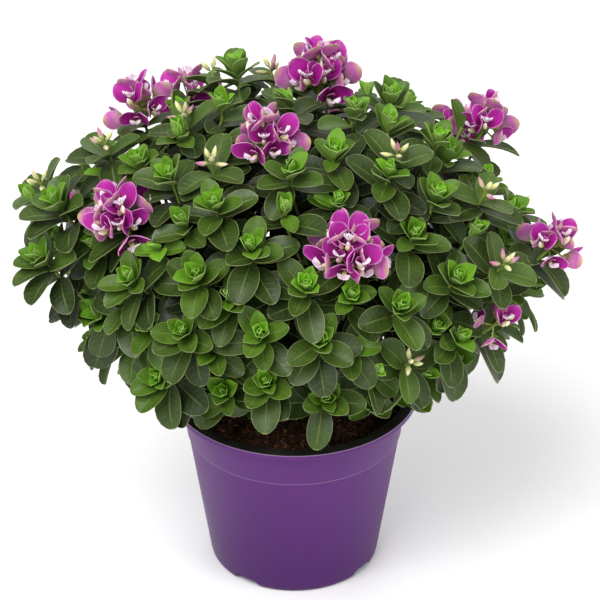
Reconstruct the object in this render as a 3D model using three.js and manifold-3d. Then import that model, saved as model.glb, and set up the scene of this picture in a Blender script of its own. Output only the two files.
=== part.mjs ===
import * as THREE from "three";
import { mergeVertices } from "three/addons/utils/BufferGeometryUtils.js";
import Module from "manifold-3d";

// A potted milkwort: a dense, domed shrub of leafy stems with sweet-pea-like heads, in a thin plastic pot.
// Millimetres, +Z up, origin at the middle of the pot's underside. The front of the plant faces -Y.

const wasm = await Module();
wasm.setup();

// Pot
const POT_HEIGHT = 131;
const LIP_RADIUS = 85; // a 17 cm pot, measured over its lip
const WALL_TOP_RADIUS = 78;
const WALL_FOOT_RADIUS = 58;
const WALL = 1.3;
const FOOT_ROUNDING = 1.6;
const LIP_DROP = 4;
const POT_SIDES = 36;

// Drainage channels under the pot
const CHANNEL_BEARINGS = [-35, 55, 145, 235];
const CHANNEL_FOOT_WIDTH = 24;
const CHANNEL_ROOF_WIDTH = 15;
const CHANNEL_HEIGHT = 5.5;
const CHANNEL_START = 16;
const CHANNEL_INSET = 0.2; // a channel's roof ends this far inside the foot of the wall
const DRAIN_RADIUS = 3.5;
const DRAIN_REACH = 38;
const DRAIN_SIDES = 8;
const OVERSHOOT = 8; // how far cutters run past what they cut

// Compost
const COMPOST_LEVEL = 118;
const COMPOST_MOUND = 4;
const COMPOST_ROUGHNESS = 1.3;
const COMPOST_SIDES = 18;
const COMPOST_RINGS = [0.72, 0.4]; // as shares of its radius
const STEM_RISE = 3; // a main stem is straight to this far above the compost
const GAP = 0.3; // clearance between neighbouring pieces

// Crown: the rounded outline that the shoot tips stand on
const CROWN_MIDDLE = new THREE.Vector3(0, 0, 242);
const CROWN_RADII = new THREE.Vector3(152, 126, 117);

// The photograph: where its eye stands and what one of its 600 x 600 pixels measures at the plant
const LOOK_AT = new THREE.Vector3(4, 0, 201);
const EYE_DISTANCE = 2220;
const EYE_ELEVATION = THREE.MathUtils.degToRad(30.9);
const MM_PER_PIXEL = 0.676;
const PICTURE_MIDDLE = 300;

// Stems
const HOLE_DEPTH = 24;
const HOLE_RADIUS = 3.8;
const HOLE_SIDES = 4;
const STEM_FOOT_RADIUS = 2.2;
const STEM_TIP_RADIUS = 1.0;
const BRANCH_FOOT_RADIUS = 1.3;
const SIDES = 3;
const STEM_STEPS = 6;
const BRANCH_STEPS = 2;
const CURVE_PULL = 0.36;
const HEART_RADIUS = 2.4;
const HEART_LENGTH = 9;
const BARE_END = 2; // the plain stem ends this far below the lowest whorl

// Leaves
const LEAF_LENGTH = 31;
const LEAF_SLENDERNESS = 0.57;
const LEAF_THICKNESS = 0.8;
const ROOT_HEIGHT = 1.1; // a blade's height where it grows out of its stem
const SAMPLE_STEP = 2.2;
const POT_CLEARANCE = 2.5;
const GOLDEN_DEGREES = 137.508;
const GOLDEN_ANGLE = THREE.MathUtils.degToRad(GOLDEN_DEGREES);
const LEAF_CLEARANCE = 2.4; // between shoots
const BLADE_CLEARANCE = 1.7; // between the leaves of one shoot, clear of their roots
const ROOTED = 0.3; // the share of a blade that counts as its root

// Flowers
const WING_LENGTH = 18;
const WING_THICKNESS = 1.2; // measured along the fold, so that each wing is over 0.6 thick
const BUD_LENGTH = 9;
const BUD_RADIUS = 1.7;
const BUD_WIDEST = 0.66;
const BUD_STALK = 3;
const BUD_SPREAD = [14, 78]; // how far buds lean from the spray's axis, first and last
const SPRAY_AXIS = 5;
const SPRAY_FEET = [4, 2]; // how far up the spray's axis its buds' stalks start, first and last
const HEAD_AXIS = 7;
const HEAD_FEET = [6, 2];
const HEAD_STANDS = 13; // from the stem's end to a head's middle
const SPRAY_STANDS = 6;

const colours = {
  pot: new THREE.MeshStandardMaterial({ color: 0x66367f, roughness: 0.38, metalness: 0 }),
  compost: new THREE.MeshStandardMaterial({ color: 0x1f1510, roughness: 1, metalness: 0 }),
  leaf: new THREE.MeshStandardMaterial({ color: 0x4d6b3a, roughness: 0.6, metalness: 0 }),
  petal: new THREE.MeshStandardMaterial({ color: 0xb01ba6, roughness: 0.55, metalness: 0 }),
  bud: new THREE.MeshStandardMaterial({ color: 0xb9c267, roughness: 0.6, metalness: 0 }),
};

const SEED_OF_LEAVES = 20261;
const SEED_OF_TURNS = 77;
const UP = new THREE.Vector3(0, 0, 1);
const radians = THREE.MathUtils.degToRad;
const mix = THREE.MathUtils.lerp;

// A repeatable row of draws between 0 and 1.
function drawsFrom(seed) {
  let state = seed;
  return () => {
    state = (state * 48271) % 2147483647;
    return state / 2147483647;
  };
}

// A closed geometry as a solid, its faces turned outwards.
function solidOf(geometry) {
  const bare = new THREE.BufferGeometry().setAttribute("position", geometry.getAttribute("position"));
  if (geometry.index) bare.setIndex(geometry.index);
  const merged = mergeVertices(bare, 1e-4);
  const corners = [];
  const index = merged.index.array;
  for (let i = 0; i < index.length; i += 3) {
    const [a, b, c] = [index[i], index[i + 1], index[i + 2]];
    if (a !== b && b !== c && c !== a) corners.push(a, b, c);
  }
  const make = (list) =>
    new wasm.Manifold(
      new wasm.Mesh({
        numProp: 3,
        vertProperties: new Float32Array(merged.attributes.position.array),
        triVerts: new Uint32Array(list),
      }),
    );
  const made = make(corners);
  return made.volume() > 0 ? made : make(corners.reverse());
}

// The largest body of a solid: what fusing sealed inside it is filled, and loose scraps are dropped.
function largestBody(solid) {
  return solid.decompose().reduce((best, body) => (body.volume() > best.volume() ? body : best));
}

// A solid as a named mesh.
function meshOf(name, solid, material) {
  const { numVert, numProp, vertProperties, triVerts } = solid.getMesh();
  const positions = new Float32Array(numVert * 3);
  for (let i = 0; i < numVert; i++) {
    positions.set(vertProperties.subarray(i * numProp, i * numProp + 3), i * 3);
  }
  const geometry = new THREE.BufferGeometry()
    .setAttribute("position", new THREE.BufferAttribute(positions, 3))
    .setIndex(new THREE.BufferAttribute(triVerts, 1));
  geometry.computeVertexNormals();
  const mesh = new THREE.Mesh(geometry, material);
  mesh.name = name;
  return mesh;
}

function turned(profile, sides) {
  const points = profile.map(([r, z]) => new THREE.Vector2(r, z));
  return new THREE.LatheGeometry(points, sides).rotateX(Math.PI / 2);
}

// Pot

function wallRadius(z) {
  return mix(WALL_FOOT_RADIUS, WALL_TOP_RADIUS, z / POT_HEIGHT);
}

// A channel's straight prism, running outwards along its bearing; grown is what is added all round it.
function channelPrism(bearing, grown, reach) {
  const height = CHANNEL_HEIGHT + grown;
  const foot = CHANNEL_FOOT_WIDTH / 2 + grown;
  const roof = CHANNEL_ROOF_WIDTH / 2 + grown;
  const section = new THREE.Shape([
    new THREE.Vector2(-foot, -1),
    new THREE.Vector2(foot, -1),
    new THREE.Vector2(roof, height),
    new THREE.Vector2(-roof, height),
  ]);
  const start = CHANNEL_START - grown;
  return new THREE.ExtrudeGeometry(section, { depth: reach - start, bevelEnabled: false })
    .translate(0, 0, start)
    .rotateX(Math.PI / 2)
    .rotateZ(radians(bearing));
}

function makePot() {
  const inner = (z) => wallRadius(z) - WALL;
  const foot = [
    [0, 0],
    [WALL_FOOT_RADIUS - FOOT_ROUNDING, 0],
    [wallRadius(FOOT_ROUNDING), FOOT_ROUNDING],
  ];
  const shell = solidOf(
    turned(
      [
        ...foot,
        [WALL_TOP_RADIUS, POT_HEIGHT - WALL],
        [LIP_RADIUS - WALL, POT_HEIGHT - WALL],
        [LIP_RADIUS - WALL, POT_HEIGHT - LIP_DROP],
        [LIP_RADIUS, POT_HEIGHT - LIP_DROP],
        [LIP_RADIUS, POT_HEIGHT],
        [inner(POT_HEIGHT), POT_HEIGHT],
        [inner(FOOT_ROUNDING + WALL), FOOT_ROUNDING + WALL],
        [WALL_FOOT_RADIUS - FOOT_ROUNDING - WALL, WALL],
        [0, WALL],
      ],
      POT_SIDES,
    ),
  );
  const ridgeReach = WALL_FOOT_RADIUS - CHANNEL_INSET;
  const ridges = CHANNEL_BEARINGS.map((b) => solidOf(channelPrism(b, WALL, ridgeReach)));
  const top = 2 * CHANNEL_HEIGHT;
  const filledFoot = solidOf(turned([...foot, [wallRadius(top), top], [0, top]], POT_SIDES));
  const tunnels = CHANNEL_BEARINGS.map((b) => solidOf(channelPrism(b, 0, WALL_FOOT_RADIUS + OVERSHOOT)));
  const drains = CHANNEL_BEARINGS.map((b) =>
    solidOf(
      new THREE.CylinderGeometry(DRAIN_RADIUS, DRAIN_RADIUS, OVERSHOOT, DRAIN_SIDES)
        .rotateX(Math.PI / 2)
        .translate(0, -DRAIN_REACH, CHANNEL_HEIGHT)
        .rotateZ(radians(b)),
    ),
  );
  const ribbed = wasm.Manifold.union([shell, ...ridges.map((r) => r.intersect(filledFoot))]);
  return ribbed.subtract(wasm.Manifold.union([...tunnels, ...drains]));
}

// Compost

// A gentle, repeatable unevenness of the compost's surface.
function unevenness(x, y) {
  return Math.sin(x * 0.21 + y * 0.13) * Math.cos(y * 0.24 - x * 0.08);
}

function makeCompost(holes) {
  const inner = (z) => wallRadius(z) - WALL - GAP;
  const foot = WALL + GAP;
  const edge = inner(COMPOST_LEVEL);
  const body = turned(
    [
      [0, foot],
      [WALL_FOOT_RADIUS - FOOT_ROUNDING - WALL - 2 * GAP, foot],
      [inner(FOOT_ROUNDING + WALL) - GAP, FOOT_ROUNDING + foot],
      [edge, COMPOST_LEVEL],
      ...COMPOST_RINGS.map((part) => [edge * part, COMPOST_LEVEL + COMPOST_MOUND * (1 - part * part)]),
      [0, COMPOST_LEVEL + COMPOST_MOUND],
    ],
    COMPOST_SIDES,
  );
  const positions = body.getAttribute("position");
  for (let i = 0; i < positions.count; i++) {
    const [x, y, z] = [positions.getX(i), positions.getY(i), positions.getZ(i)];
    const inside = z > COMPOST_LEVEL && Math.hypot(x, y) < edge - 1;
    if (inside) positions.setZ(i, z + COMPOST_ROUGHNESS * unevenness(x, y));
  }
  const ridges = CHANNEL_BEARINGS.map((b) => solidOf(channelPrism(b, WALL + GAP, WALL_FOOT_RADIUS + OVERSHOOT)));
  const bores = holes.map((hole) =>
    solidOf(
      new THREE.CylinderGeometry(HOLE_RADIUS, HOLE_RADIUS, 2 * HOLE_DEPTH, HOLE_SIDES)
        .rotateX(Math.PI / 2)
        .translate(hole.x, hole.y, COMPOST_LEVEL - GAP),
    ),
  );
  return solidOf(body).subtract(wasm.Manifold.union([...ridges, ...bores]));
}

// Where shoots stand

// The point of the crown seen at picture point (u, v); beside the crown, the point nearest to it.
// out is how far out the point stands, 1 being on the crown's outline.
function seenAt(u, v, out) {
  const forward = new THREE.Vector3(0, Math.cos(EYE_ELEVATION), -Math.sin(EYE_ELEVATION));
  const rise = new THREE.Vector3(0, Math.sin(EYE_ELEVATION), Math.cos(EYE_ELEVATION));
  const eye = LOOK_AT.clone().addScaledVector(forward, -EYE_DISTANCE);
  const ray = forward.clone().multiplyScalar(EYE_DISTANCE);
  ray.x += (u - PICTURE_MIDDLE) * MM_PER_PIXEL;
  ray.addScaledVector(rise, (PICTURE_MIDDLE - v) * MM_PER_PIXEL);
  const radii = CROWN_RADII.clone().multiplyScalar(out);
  const from = eye.clone().sub(CROWN_MIDDLE).divide(radii);
  const along = ray.clone().divide(radii);
  const a = along.dot(along);
  const b = from.dot(along);
  const c = from.dot(from) - 1;
  const inside = b * b - a * c;
  const far = (-b - Math.sqrt(Math.max(inside, 0))) / a;
  return eye.addScaledVector(ray, far);
}

// The point of the crown at a bearing round the pot (0 at the front, turning to the right) and a height.
function standsAt(bearing, height, out) {
  const share = Math.sqrt(Math.max(1 - ((height - CROWN_MIDDLE.z) / CROWN_RADII.z) ** 2, 0));
  return new THREE.Vector3(
    Math.sin(radians(bearing)) * CROWN_RADII.x * share * out,
    -Math.cos(radians(bearing)) * CROWN_RADII.y * share * out,
    CROWN_MIDDLE.z + (height - CROWN_MIDDLE.z) * out,
  );
}

// Which way a shoot at a point grows: outwards from the crown, but turned up to the light.
const OUTWARD = 0.62;
const UPWARD = 0.72;

function growthAt(point) {
  const outward = point.clone().sub(CROWN_MIDDLE).divide(CROWN_RADII).divide(CROWN_RADII).normalize();
  return outward.multiplyScalar(OUTWARD).addScaledVector(UP, UPWARD).normalize();
}

// Flowering shoots seen in the photograph: picture point of the head's middle, flowers in it, its size.
const HEADS_SEEN = [
  { name: "top", u: 320, v: 68, out: 1.02, flowers: 8, size: 1.0 },
  { name: "upper", u: 266, v: 131, out: 1.02, flowers: 6, size: 0.9 },
  { name: "front", u: 350, v: 247, out: 1.04, flowers: 8, size: 1.0 },
  { name: "left", u: 116, v: 211, out: 1.06, flowers: 7, size: 0.95 },
  { name: "upper_left", u: 137, v: 97, out: 1.1, flowers: 4, size: 0.85 },
  { name: "right_top", u: 487, v: 117, out: 1.1, flowers: 5, size: 0.85 },
  { name: "right", u: 556, v: 241, out: 1.2, flowers: 5, size: 0.8 },
  { name: "lower_right", u: 500, v: 321, out: 1.1, flowers: 2, size: 0.75 },
];

// Flowering shoots on the side that the photograph doesn't show.
const HEADS_BEHIND = [
  { name: "back_left", bearing: 215, height: 312, out: 1.04, flowers: 4, size: 0.95 },
  { name: "back", bearing: 172, height: 260, out: 1.04, flowers: 4, size: 1.0 },
  { name: "back_right", bearing: 130, height: 290, out: 1.05, flowers: 4, size: 0.9 },
  { name: "back_low", bearing: 238, height: 235, out: 1.08, flowers: 4, size: 0.85 },
];

// Shoots that end in a spray of unopened buds.
const SPRAYS_SEEN = [
  { name: "crest", u: 212, v: 70, out: 1.02, buds: 4 },
  { name: "pale_left", u: 184, v: 114, out: 1.02, buds: 5 },
  { name: "upper_right", u: 398, v: 152, out: 1.04, buds: 6 },
  { name: "far_left", u: 39, v: 182, out: 1.2, buds: 5 },
  { name: "side_left", u: 103, v: 141, out: 1.1, buds: 5 },
  { name: "middle_left", u: 211, v: 160, out: 1.02, buds: 5 },
  { name: "side_right", u: 487, v: 190, out: 1.1, buds: 5 },
  { name: "hanging_right", u: 506, v: 262, out: 1.14, buds: 6 },
  { name: "low_right", u: 411, v: 362, out: 1.0, buds: 5 },
];

const SPRAYS_BEHIND = [
  { name: "behind_right", bearing: 105, height: 255, out: 1.05, buds: 5 },
  { name: "behind_top", bearing: 190, height: 338, out: 1.02, buds: 5 },
];

// Leafy shoots seen in the photograph: picture point of the rosette's heart.
const ROSETTES_SEEN = [
  { u: 237, v: 76 },
  { u: 172, v: 182 },
  { u: 216, v: 210 },
  { u: 251, v: 252 },
  { u: 199, v: 280 },
  { u: 134, v: 282 },
  { u: 186, v: 335 },
  { u: 261, v: 337 },
  { u: 163, v: 378 },
  { u: 267, v: 383 },
  { u: 325, v: 400 },
  { u: 318, v: 342 },
  { u: 306, v: 290 },
  { u: 398, v: 311 },
  { u: 389, v: 105 },
  { u: 388, v: 178 },
  { u: 461, v: 128 },
  { u: 434, v: 202 },
  { u: 470, v: 236 },
  { u: 453, v: 283 },
  { u: 45, v: 262, out: 1.16 },
  { u: 60, v: 208, out: 1.14 },
  { u: 455, v: 340 },
  { u: 291, v: 176 },
];

// Smaller shoots between them, with a single whorl of leaves.
const SPRIGS_SEEN = [
  { u: 141, v: 147 },
  { u: 285, v: 214 },
  { u: 124, v: 304 },
  { u: 226, v: 392 },
  { u: 348, v: 346 },
  { u: 412, v: 240 },
  { u: 482, v: 219 },
  { u: 431, v: 330 },
  { u: 480, v: 329 },
  { u: 334, v: 160 },
  { u: 230, v: 300 },
  { u: 350, v: 300 },
  { u: 292, v: 105 },
  { u: 100, v: 250 },
];
const SPRIG_OUT = 0.94;

// Shoots elsewhere stand in golden-angle spirals, rosettes first, where no other shoot is near.
const SPIRALS = [
  { kind: "rosette", steps: 60, start: 180, apart: 43, out: 1 },
  { kind: "sprig", steps: 140, start: 64, apart: 32.5, out: 0.9 },
];
const SPIRAL_TOP = 357;
const SPIRAL_FOOT = 170;
const SPIRAL_FRONT = 75; // bearings nearer the front than this are the photograph's own

function shootFrom(entry, tip, kind) {
  const { name, flowers, buds, size = 1 } = entry;
  return { kind, name, flowers, buds, size, tip };
}

// Every shoot: its kind, the end of its leafy stem, and the way it grows.
function listShoots() {
  const shoots = [];
  const add = (entry, kind, place) => {
    const shoot = shootFrom(entry, place, kind);
    shoot.growth = growthAt(place);
    // A head or spray stands on the stem's end, so the stem stops short of the point that is listed.
    if (kind === "head") shoot.tip = place.clone().addScaledVector(shoot.growth, -HEAD_STANDS * shoot.size);
    if (kind === "spray") shoot.tip = place.clone().addScaledVector(shoot.growth, -SPRAY_STANDS);
    shoots.push(shoot);
  };
  for (const e of HEADS_SEEN) add(e, "head", seenAt(e.u, e.v, e.out));
  for (const e of HEADS_BEHIND) add(e, "head", standsAt(e.bearing, e.height, e.out));
  for (const e of SPRAYS_SEEN) add(e, "spray", seenAt(e.u, e.v, e.out));
  for (const e of SPRAYS_BEHIND) add(e, "spray", standsAt(e.bearing, e.height, e.out));
  for (const e of ROSETTES_SEEN) add(e, "rosette", seenAt(e.u, e.v, e.out ?? 1));
  for (const e of SPRIGS_SEEN) add(e, "sprig", seenAt(e.u, e.v, SPRIG_OUT));
  for (const { kind, steps, start, apart, out } of SPIRALS) {
    for (let k = 0; k < steps; k++) {
      const bearing = ((k * GOLDEN_DEGREES + start) % 360) - 180;
      const height = mix(SPIRAL_TOP, SPIRAL_FOOT, (k + 0.5) / steps);
      const place = standsAt(bearing, height, out);
      const clear = shoots.every((s) => s.tip.distanceTo(place) > apart);
      if (clear && Math.abs(bearing) > SPIRAL_FRONT) add({}, kind, place);
    }
  }
  return shoots;
}

// Stems

// Main stems fan out of the compost: bearing, and how steeply the stem climbs.
const STEMS = [
  { bearing: 0, climb: 28 },
  { bearing: 48, climb: 22 },
  { bearing: 96, climb: 24 },
  { bearing: 144, climb: 26 },
  { bearing: 192, climb: 24 },
  { bearing: 240, climb: 26 },
  { bearing: 284, climb: 24 },
  { bearing: 318, climb: 26 },
  { bearing: 20, climb: 56 },
  { bearing: 80, climb: 52 },
  { bearing: 140, climb: 54 },
  { bearing: 200, climb: 56 },
  { bearing: 262, climb: 52 },
  { bearing: 325, climb: 54 },
  { bearing: 70, climb: 80 },
  { bearing: 250, climb: 82 },
];
const FAN_DEPTH = 8; // the fan's middle lies this far under the compost's surface
const HOLE_REACH = [30, 17, 7]; // from the pot's middle, for low, middle and upright stems

function directionOf(stem) {
  const b = radians(stem.bearing);
  const c = radians(stem.climb);
  return new THREE.Vector3(Math.sin(b) * Math.cos(c), -Math.cos(b) * Math.cos(c), Math.sin(c));
}

function holeOf(stem) {
  const reach = stem.climb < 40 ? HOLE_REACH[0] : stem.climb < 70 ? HOLE_REACH[1] : HOLE_REACH[2];
  const b = radians(stem.bearing);
  const height = COMPOST_LEVEL + COMPOST_MOUND + STEM_RISE;
  return new THREE.Vector3(Math.sin(b) * reach, -Math.cos(b) * reach, height);
}

// Shares the shoots out: each belongs to the main stem that points most nearly at it.
function shareShoots(shoots) {
  const fan = new THREE.Vector3(0, 0, COMPOST_LEVEL - FAN_DEPTH);
  const stems = STEMS.map((stem) => ({ ...stem, way: directionOf(stem), shoots: [] }));
  for (const shoot of shoots) {
    const way = shoot.tip.clone().sub(fan).normalize();
    const nearest = stems.reduce((best, s) => (s.way.dot(way) > best.way.dot(way) ? s : best));
    shoot.nearness = nearest.way.dot(way);
    nearest.shoots.push(shoot);
  }
  for (const stem of stems) stem.shoots.sort((a, b) => b.nearness - a.nearness);
  return stems.filter((stem) => stem.shoots.length);
}

// A smooth stem from a start to a shoot's end: a cubic curve, with the number of rings and the width it has.
function growCurve(start, leave, shoot, steps, footRadius) {
  const length = start.distanceTo(shoot.tip);
  const curve = new THREE.CubicBezierCurve3(
    start,
    start.clone().addScaledVector(leave, length * CURVE_PULL),
    shoot.tip.clone().addScaledVector(shoot.growth, -length * CURVE_PULL),
    shoot.tip,
  );
  // A level side direction keeps rings and leaves from spinning along the stem.
  const level = Math.hypot(shoot.growth.x, shoot.growth.y) > 0.2;
  const across = new THREE.Vector3(shoot.growth.y, -shoot.growth.x, 0);
  const side = level ? across.normalize() : new THREE.Vector3(1, 0, 0);
  return { curve, side, steps, footRadius, length: curve.getLength() };
}

function curveFrame(branch, t) {
  const along = branch.curve.getTangent(t);
  const across = branch.side.clone().addScaledVector(along, -branch.side.dot(along)).normalize();
  return { at: branch.curve.getPoint(t), along, across, out: along.clone().cross(across) };
}

// A closed three-sided tube through rings, each with a place, directions across it, a radius and a twist.
// A ring may carry leaves: each grows out of the face between that ring and the next.
function tubeSolid(rings) {
  const points = rings.flatMap(({ at, across, out, radius, twist }) =>
    Array.from({ length: SIDES }, (_, i) => {
      const angle = (2 * Math.PI * i) / SIDES + twist;
      const [over, up] = [Math.cos(angle) * radius, Math.sin(angle) * radius];
      return at.clone().addScaledVector(across, over).addScaledVector(out, up);
    }),
  );
  const corners = [];
  for (let ring = 0; ring < rings.length - 1; ring++) {
    for (let i = 0; i < SIDES; i++) {
      const [a, b] = [ring * SIDES + i, ring * SIDES + ((i + 1) % SIDES)];
      const leaf = rings[ring].leaves?.[i];
      if (leaf) addBlade(points, corners, leaf, [a + SIDES, b + SIDES], [a, b]);
      else corners.push(a, b, a + SIDES, b, b + SIDES, a + SIDES);
    }
  }
  const last = (rings.length - 1) * SIDES;
  corners.push(0, 2, 1, last, last + 1, last + 2);
  return solidOf(new THREE.BufferGeometry().setFromPoints(points).setIndex(corners));
}

// A blade, its outline alike on both faces and stitched to two edges of a stem.
function addBlade(points, corners, blade, upperRoot, lowerRoot) {
  const steps = blade.length < YOUNG_LENGTH ? YOUNG_STEPS : OUTLINE_STEPS;
  const spots = [...steps.map((t) => [t, 1]), [1, 0], ...[...steps].reverse().map((t) => [t, -1])];
  const [upper, lower] = [1, -1].map((face) => {
    const first = points.length;
    points.push(...spots.map(([t, q]) => bladePoint(blade, t, q, (face * LEAF_THICKNESS) / 2)));
    return spots.map((_, i) => first + i);
  });
  const [above, below] = [
    [...upperRoot, ...upper],
    [...lowerRoot, ...lower],
  ];
  const count = above.length;
  for (let i = 1; i < count; i++) {
    const next = (i + 1) % count;
    corners.push(above[i], above[next], below[i], above[next], below[next], below[i]);
  }
  // Both faces are filled from side to side, row by row from the root to the tip.
  for (let row = 0; 2 * row < count - 1; row++) {
    const [left, right] = [(count - row) % count, row + 1];
    const [farLeft, farRight] = [count - row - 1, row + 2];
    corners.push(above[farRight], above[right], above[left], below[left], below[right], below[farRight]);
    if (farLeft === farRight) continue;
    corners.push(above[farLeft], above[farRight], above[left], below[left], below[farRight], below[farLeft]);
  }
}

// The rings of a shoot: along its curve, two for each whorl of leaves, and the bud at the heart of a rosette.
function shootRings(shoot) {
  const { branch } = shoot;
  const place = (below) => 1 - below / branch.length;
  const ringAt = (t, twist) => {
    const radius = mix(branch.footRadius, STEM_TIP_RADIUS, t);
    return { ...curveFrame(branch, t), radius, twist };
  };
  const bare = place(shoot.whorls.at(-1).below + BARE_END);
  const rings = [...(branch.footing ?? [])];
  for (let i = 0; i <= branch.steps; i++) {
    const t = i / branch.steps;
    if (i === 0 || t < bare) rings.push(ringAt(t, 0));
  }
  for (const whorl of [...shoot.whorls].reverse()) {
    rings.push({ ...ringAt(place(whorl.below + ROOT_HEIGHT / 2), whorl.twist), leaves: whorl.leaves });
    rings.push(ringAt(place(whorl.below - ROOT_HEIGHT / 2), whorl.twist));
  }
  const end = { ...ringAt(1, rings.at(-1).twist) };
  rings.push(end);
  if (shoot.kind === "rosette") {
    end.at = end.at.clone().addScaledVector(shoot.growth, HEART_LENGTH / 2);
    end.radius = HEART_RADIUS;
    const point = end.at.clone().addScaledVector(shoot.growth, HEART_LENGTH / 2);
    rings.push({ ...end, at: point, radius: 0 });
  }
  return rings;
}

const FORKS = [2, 3, 4, 1]; // the rings of the main stem at which side shoots leave it
const OUT_OF_SOIL = 0.8;

// The straight foot of a main stem, standing in its hole.
function footingIn(hole) {
  const across = new THREE.Vector3(1, 0, 0);
  const at = new THREE.Vector3(hole.x, hole.y, COMPOST_LEVEL - HOLE_DEPTH);
  return [{ at, across, out: new THREE.Vector3(0, 1, 0), radius: STEM_FOOT_RADIUS, twist: 0 }];
}

function growStems(stems) {
  for (const stem of stems) {
    stem.hole = holeOf(stem);
    const [first, ...others] = stem.shoots;
    const leave = UP.clone().multiplyScalar(OUT_OF_SOIL).add(stem.way).normalize();
    const main = growCurve(stem.hole, leave, first, STEM_STEPS, STEM_FOOT_RADIUS);
    main.footing = footingIn(stem.hole);
    first.branch = main;
    others.forEach((shoot, k) => {
      const t = FORKS[k % FORKS.length] / STEM_STEPS;
      const start = main.curve.getPoint(t);
      const leaving = shoot.tip.clone().sub(start).normalize().add(main.curve.getTangent(t)).normalize();
      shoot.branch = growCurve(start, leaving, shoot, BRANCH_STEPS, BRANCH_FOOT_RADIUS);
    });
  }
}

// Leaves

// Points already taken, held in cubes so that near ones are found quickly.
class Room {
  constructor(reach) {
    this.reach = reach;
    this.cubes = new Map();
  }
  key(x, y, z) {
    return x * 1000003 + y * 1009 + z;
  }
  add(points, owner) {
    for (const p of points) {
      const key = this.key(...[p.x, p.y, p.z].map((c) => Math.floor(c / this.reach)));
      if (!this.cubes.has(key)) this.cubes.set(key, []);
      this.cubes.get(key).push({ p, owner });
    }
  }
  isFree(points, owner) {
    for (const p of points) {
      const [x, y, z] = [p.x, p.y, p.z].map((c) => Math.floor(c / this.reach));
      for (let i = -1; i <= 1; i++)
        for (let j = -1; j <= 1; j++)
          for (let k = -1; k <= 1; k++) {
            const near = this.cubes.get(this.key(x + i, y + j, z + k)) ?? [];
            if (near.some((n) => n.owner !== owner && n.p.distanceTo(p) < this.reach)) return false;
          }
    }
    return true;
  }
}

// Half the blade's width at a share t of its length, as a share of the greatest half width.
function bladeWidth(t) {
  return Math.sin(Math.PI * t ** 1.08) ** 0.72;
}

// A point of a leaf or petal: t runs from its root to its tip, q from edge to edge (-1 to 1).
// The blade leaves its root at the angle `lift` above the flat and bends outwards by `curl` on its way.
function bladePoint(blade, t, q, lifted = 0) {
  const turn = blade.lift - blade.curl * t;
  const reach = blade.curl ? (Math.sin(blade.lift) - Math.sin(turn)) / blade.curl : Math.cos(turn) * t;
  const rise = blade.curl ? (Math.cos(turn) - Math.cos(blade.lift)) / blade.curl : Math.sin(turn) * t;
  const half = (blade.width / 2) * bladeWidth(t);
  const cup = blade.cup * q * q * half + lifted;
  return blade.root
    .clone()
    .addScaledVector(blade.out, blade.length * reach - Math.sin(turn) * cup)
    .addScaledVector(blade.along, blade.length * rise + Math.cos(turn) * cup)
    .addScaledVector(blade.across, half * q);
}

// Points spread over a blade, from the share `from` of its length outwards.
function bladeSamples(blade, from) {
  const points = [];
  const rows = Math.ceil(blade.length / SAMPLE_STEP);
  for (let i = 1; i <= rows; i++) {
    if (i / rows < from) continue;
    for (let j = -3; j <= 3; j++) points.push(bladePoint(blade, i / rows, j / 3));
  }
  return points;
}

function isAbovePot(point) {
  return point.z > POT_HEIGHT + POT_CLEARANCE || Math.hypot(point.x, point.y) > LIP_RADIUS + POT_CLEARANCE;
}

const OUTLINE_STEPS = [0.33, 0.72];
const YOUNG_STEPS = [0.5];
const YOUNG_LENGTH = 28.5; // leaves shorter than this have a plainer outline

// Whorl by whorl down the shoot: how far it stands below the tip, and how large its leaves are, how far they lift
// towards the tip and how much they curl back.
const WHORLS = [
  { below: 2.5, size: 0.74, lift: 52, curl: 18 },
  { below: 10, size: 1, lift: 22, curl: 34 },
  { below: 19, size: 1.04, lift: -4, curl: 36 },
];
const WHORL_NUMBERS = { rosette: [0, 1], spray: [1], head: [1], sprig: [1] };
const WHORL_TURN = radians(60);
const TRIES = [
  { lift: 0, size: 1 },
  { lift: 16, size: 1 },
  { lift: -14, size: 1 },
  { lift: 8, size: 0.82 },
];

function leafBlade(shoot, whorl, side, draw) {
  const { branch } = shoot;
  const { at, along, across, out } = curveFrame(branch, 1 - whorl.below / branch.length);
  const angle = (2 * Math.PI * (side + 0.5)) / SIDES + whorl.twist;
  const radial = across.clone().multiplyScalar(Math.cos(angle)).addScaledVector(out, Math.sin(angle));
  const length = LEAF_LENGTH * whorl.size * mix(0.88, 1.1, draw());
  return {
    root: at.addScaledVector(radial, STEM_TIP_RADIUS / 2),
    out: radial,
    along,
    across: along.clone().cross(radial),
    length,
    width: length * LEAF_SLENDERNESS * mix(0.9, 1.12, draw()),
    lift: radians(whorl.lift + mix(-10, 10, draw())),
    curl: radians(whorl.curl + mix(-10, 10, draw())),
    cup: mix(0.1, 0.4, draw()),
  };
}

// Gives every shoot its whorls of leaves, each leaf bent clear of what already stands there, or left out.
function growLeaves(shoots, room) {
  const draw = drawsFrom(SEED_OF_LEAVES);
  const blades = new Room(BLADE_CLEARANCE);
  let number = 0;
  const settle = (blade, owner) => {
    for (const attempt of TRIES) {
      const bent = {
        ...blade,
        length: blade.length * attempt.size,
        width: blade.width * attempt.size,
        lift: blade.lift + radians(attempt.lift),
      };
      const samples = bladeSamples(bent, 0);
      const open = bladeSamples(bent, ROOTED);
      if (samples.every(isAbovePot) && room.isFree(samples, owner) && blades.isFree(open, number)) {
        room.add(samples, owner);
        blades.add(open, number);
        number += 1;
        return bent;
      }
    }
    return null;
  };
  shoots.forEach((shoot, owner) => {
    for (const whorl of shoot.whorls) {
      const sides = Array.from({ length: SIDES }, (_, side) => side);
      whorl.leaves = sides.map((side) => settle(leafBlade(shoot, whorl, side, draw), owner));
    }
  });
}

// Flowers

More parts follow.
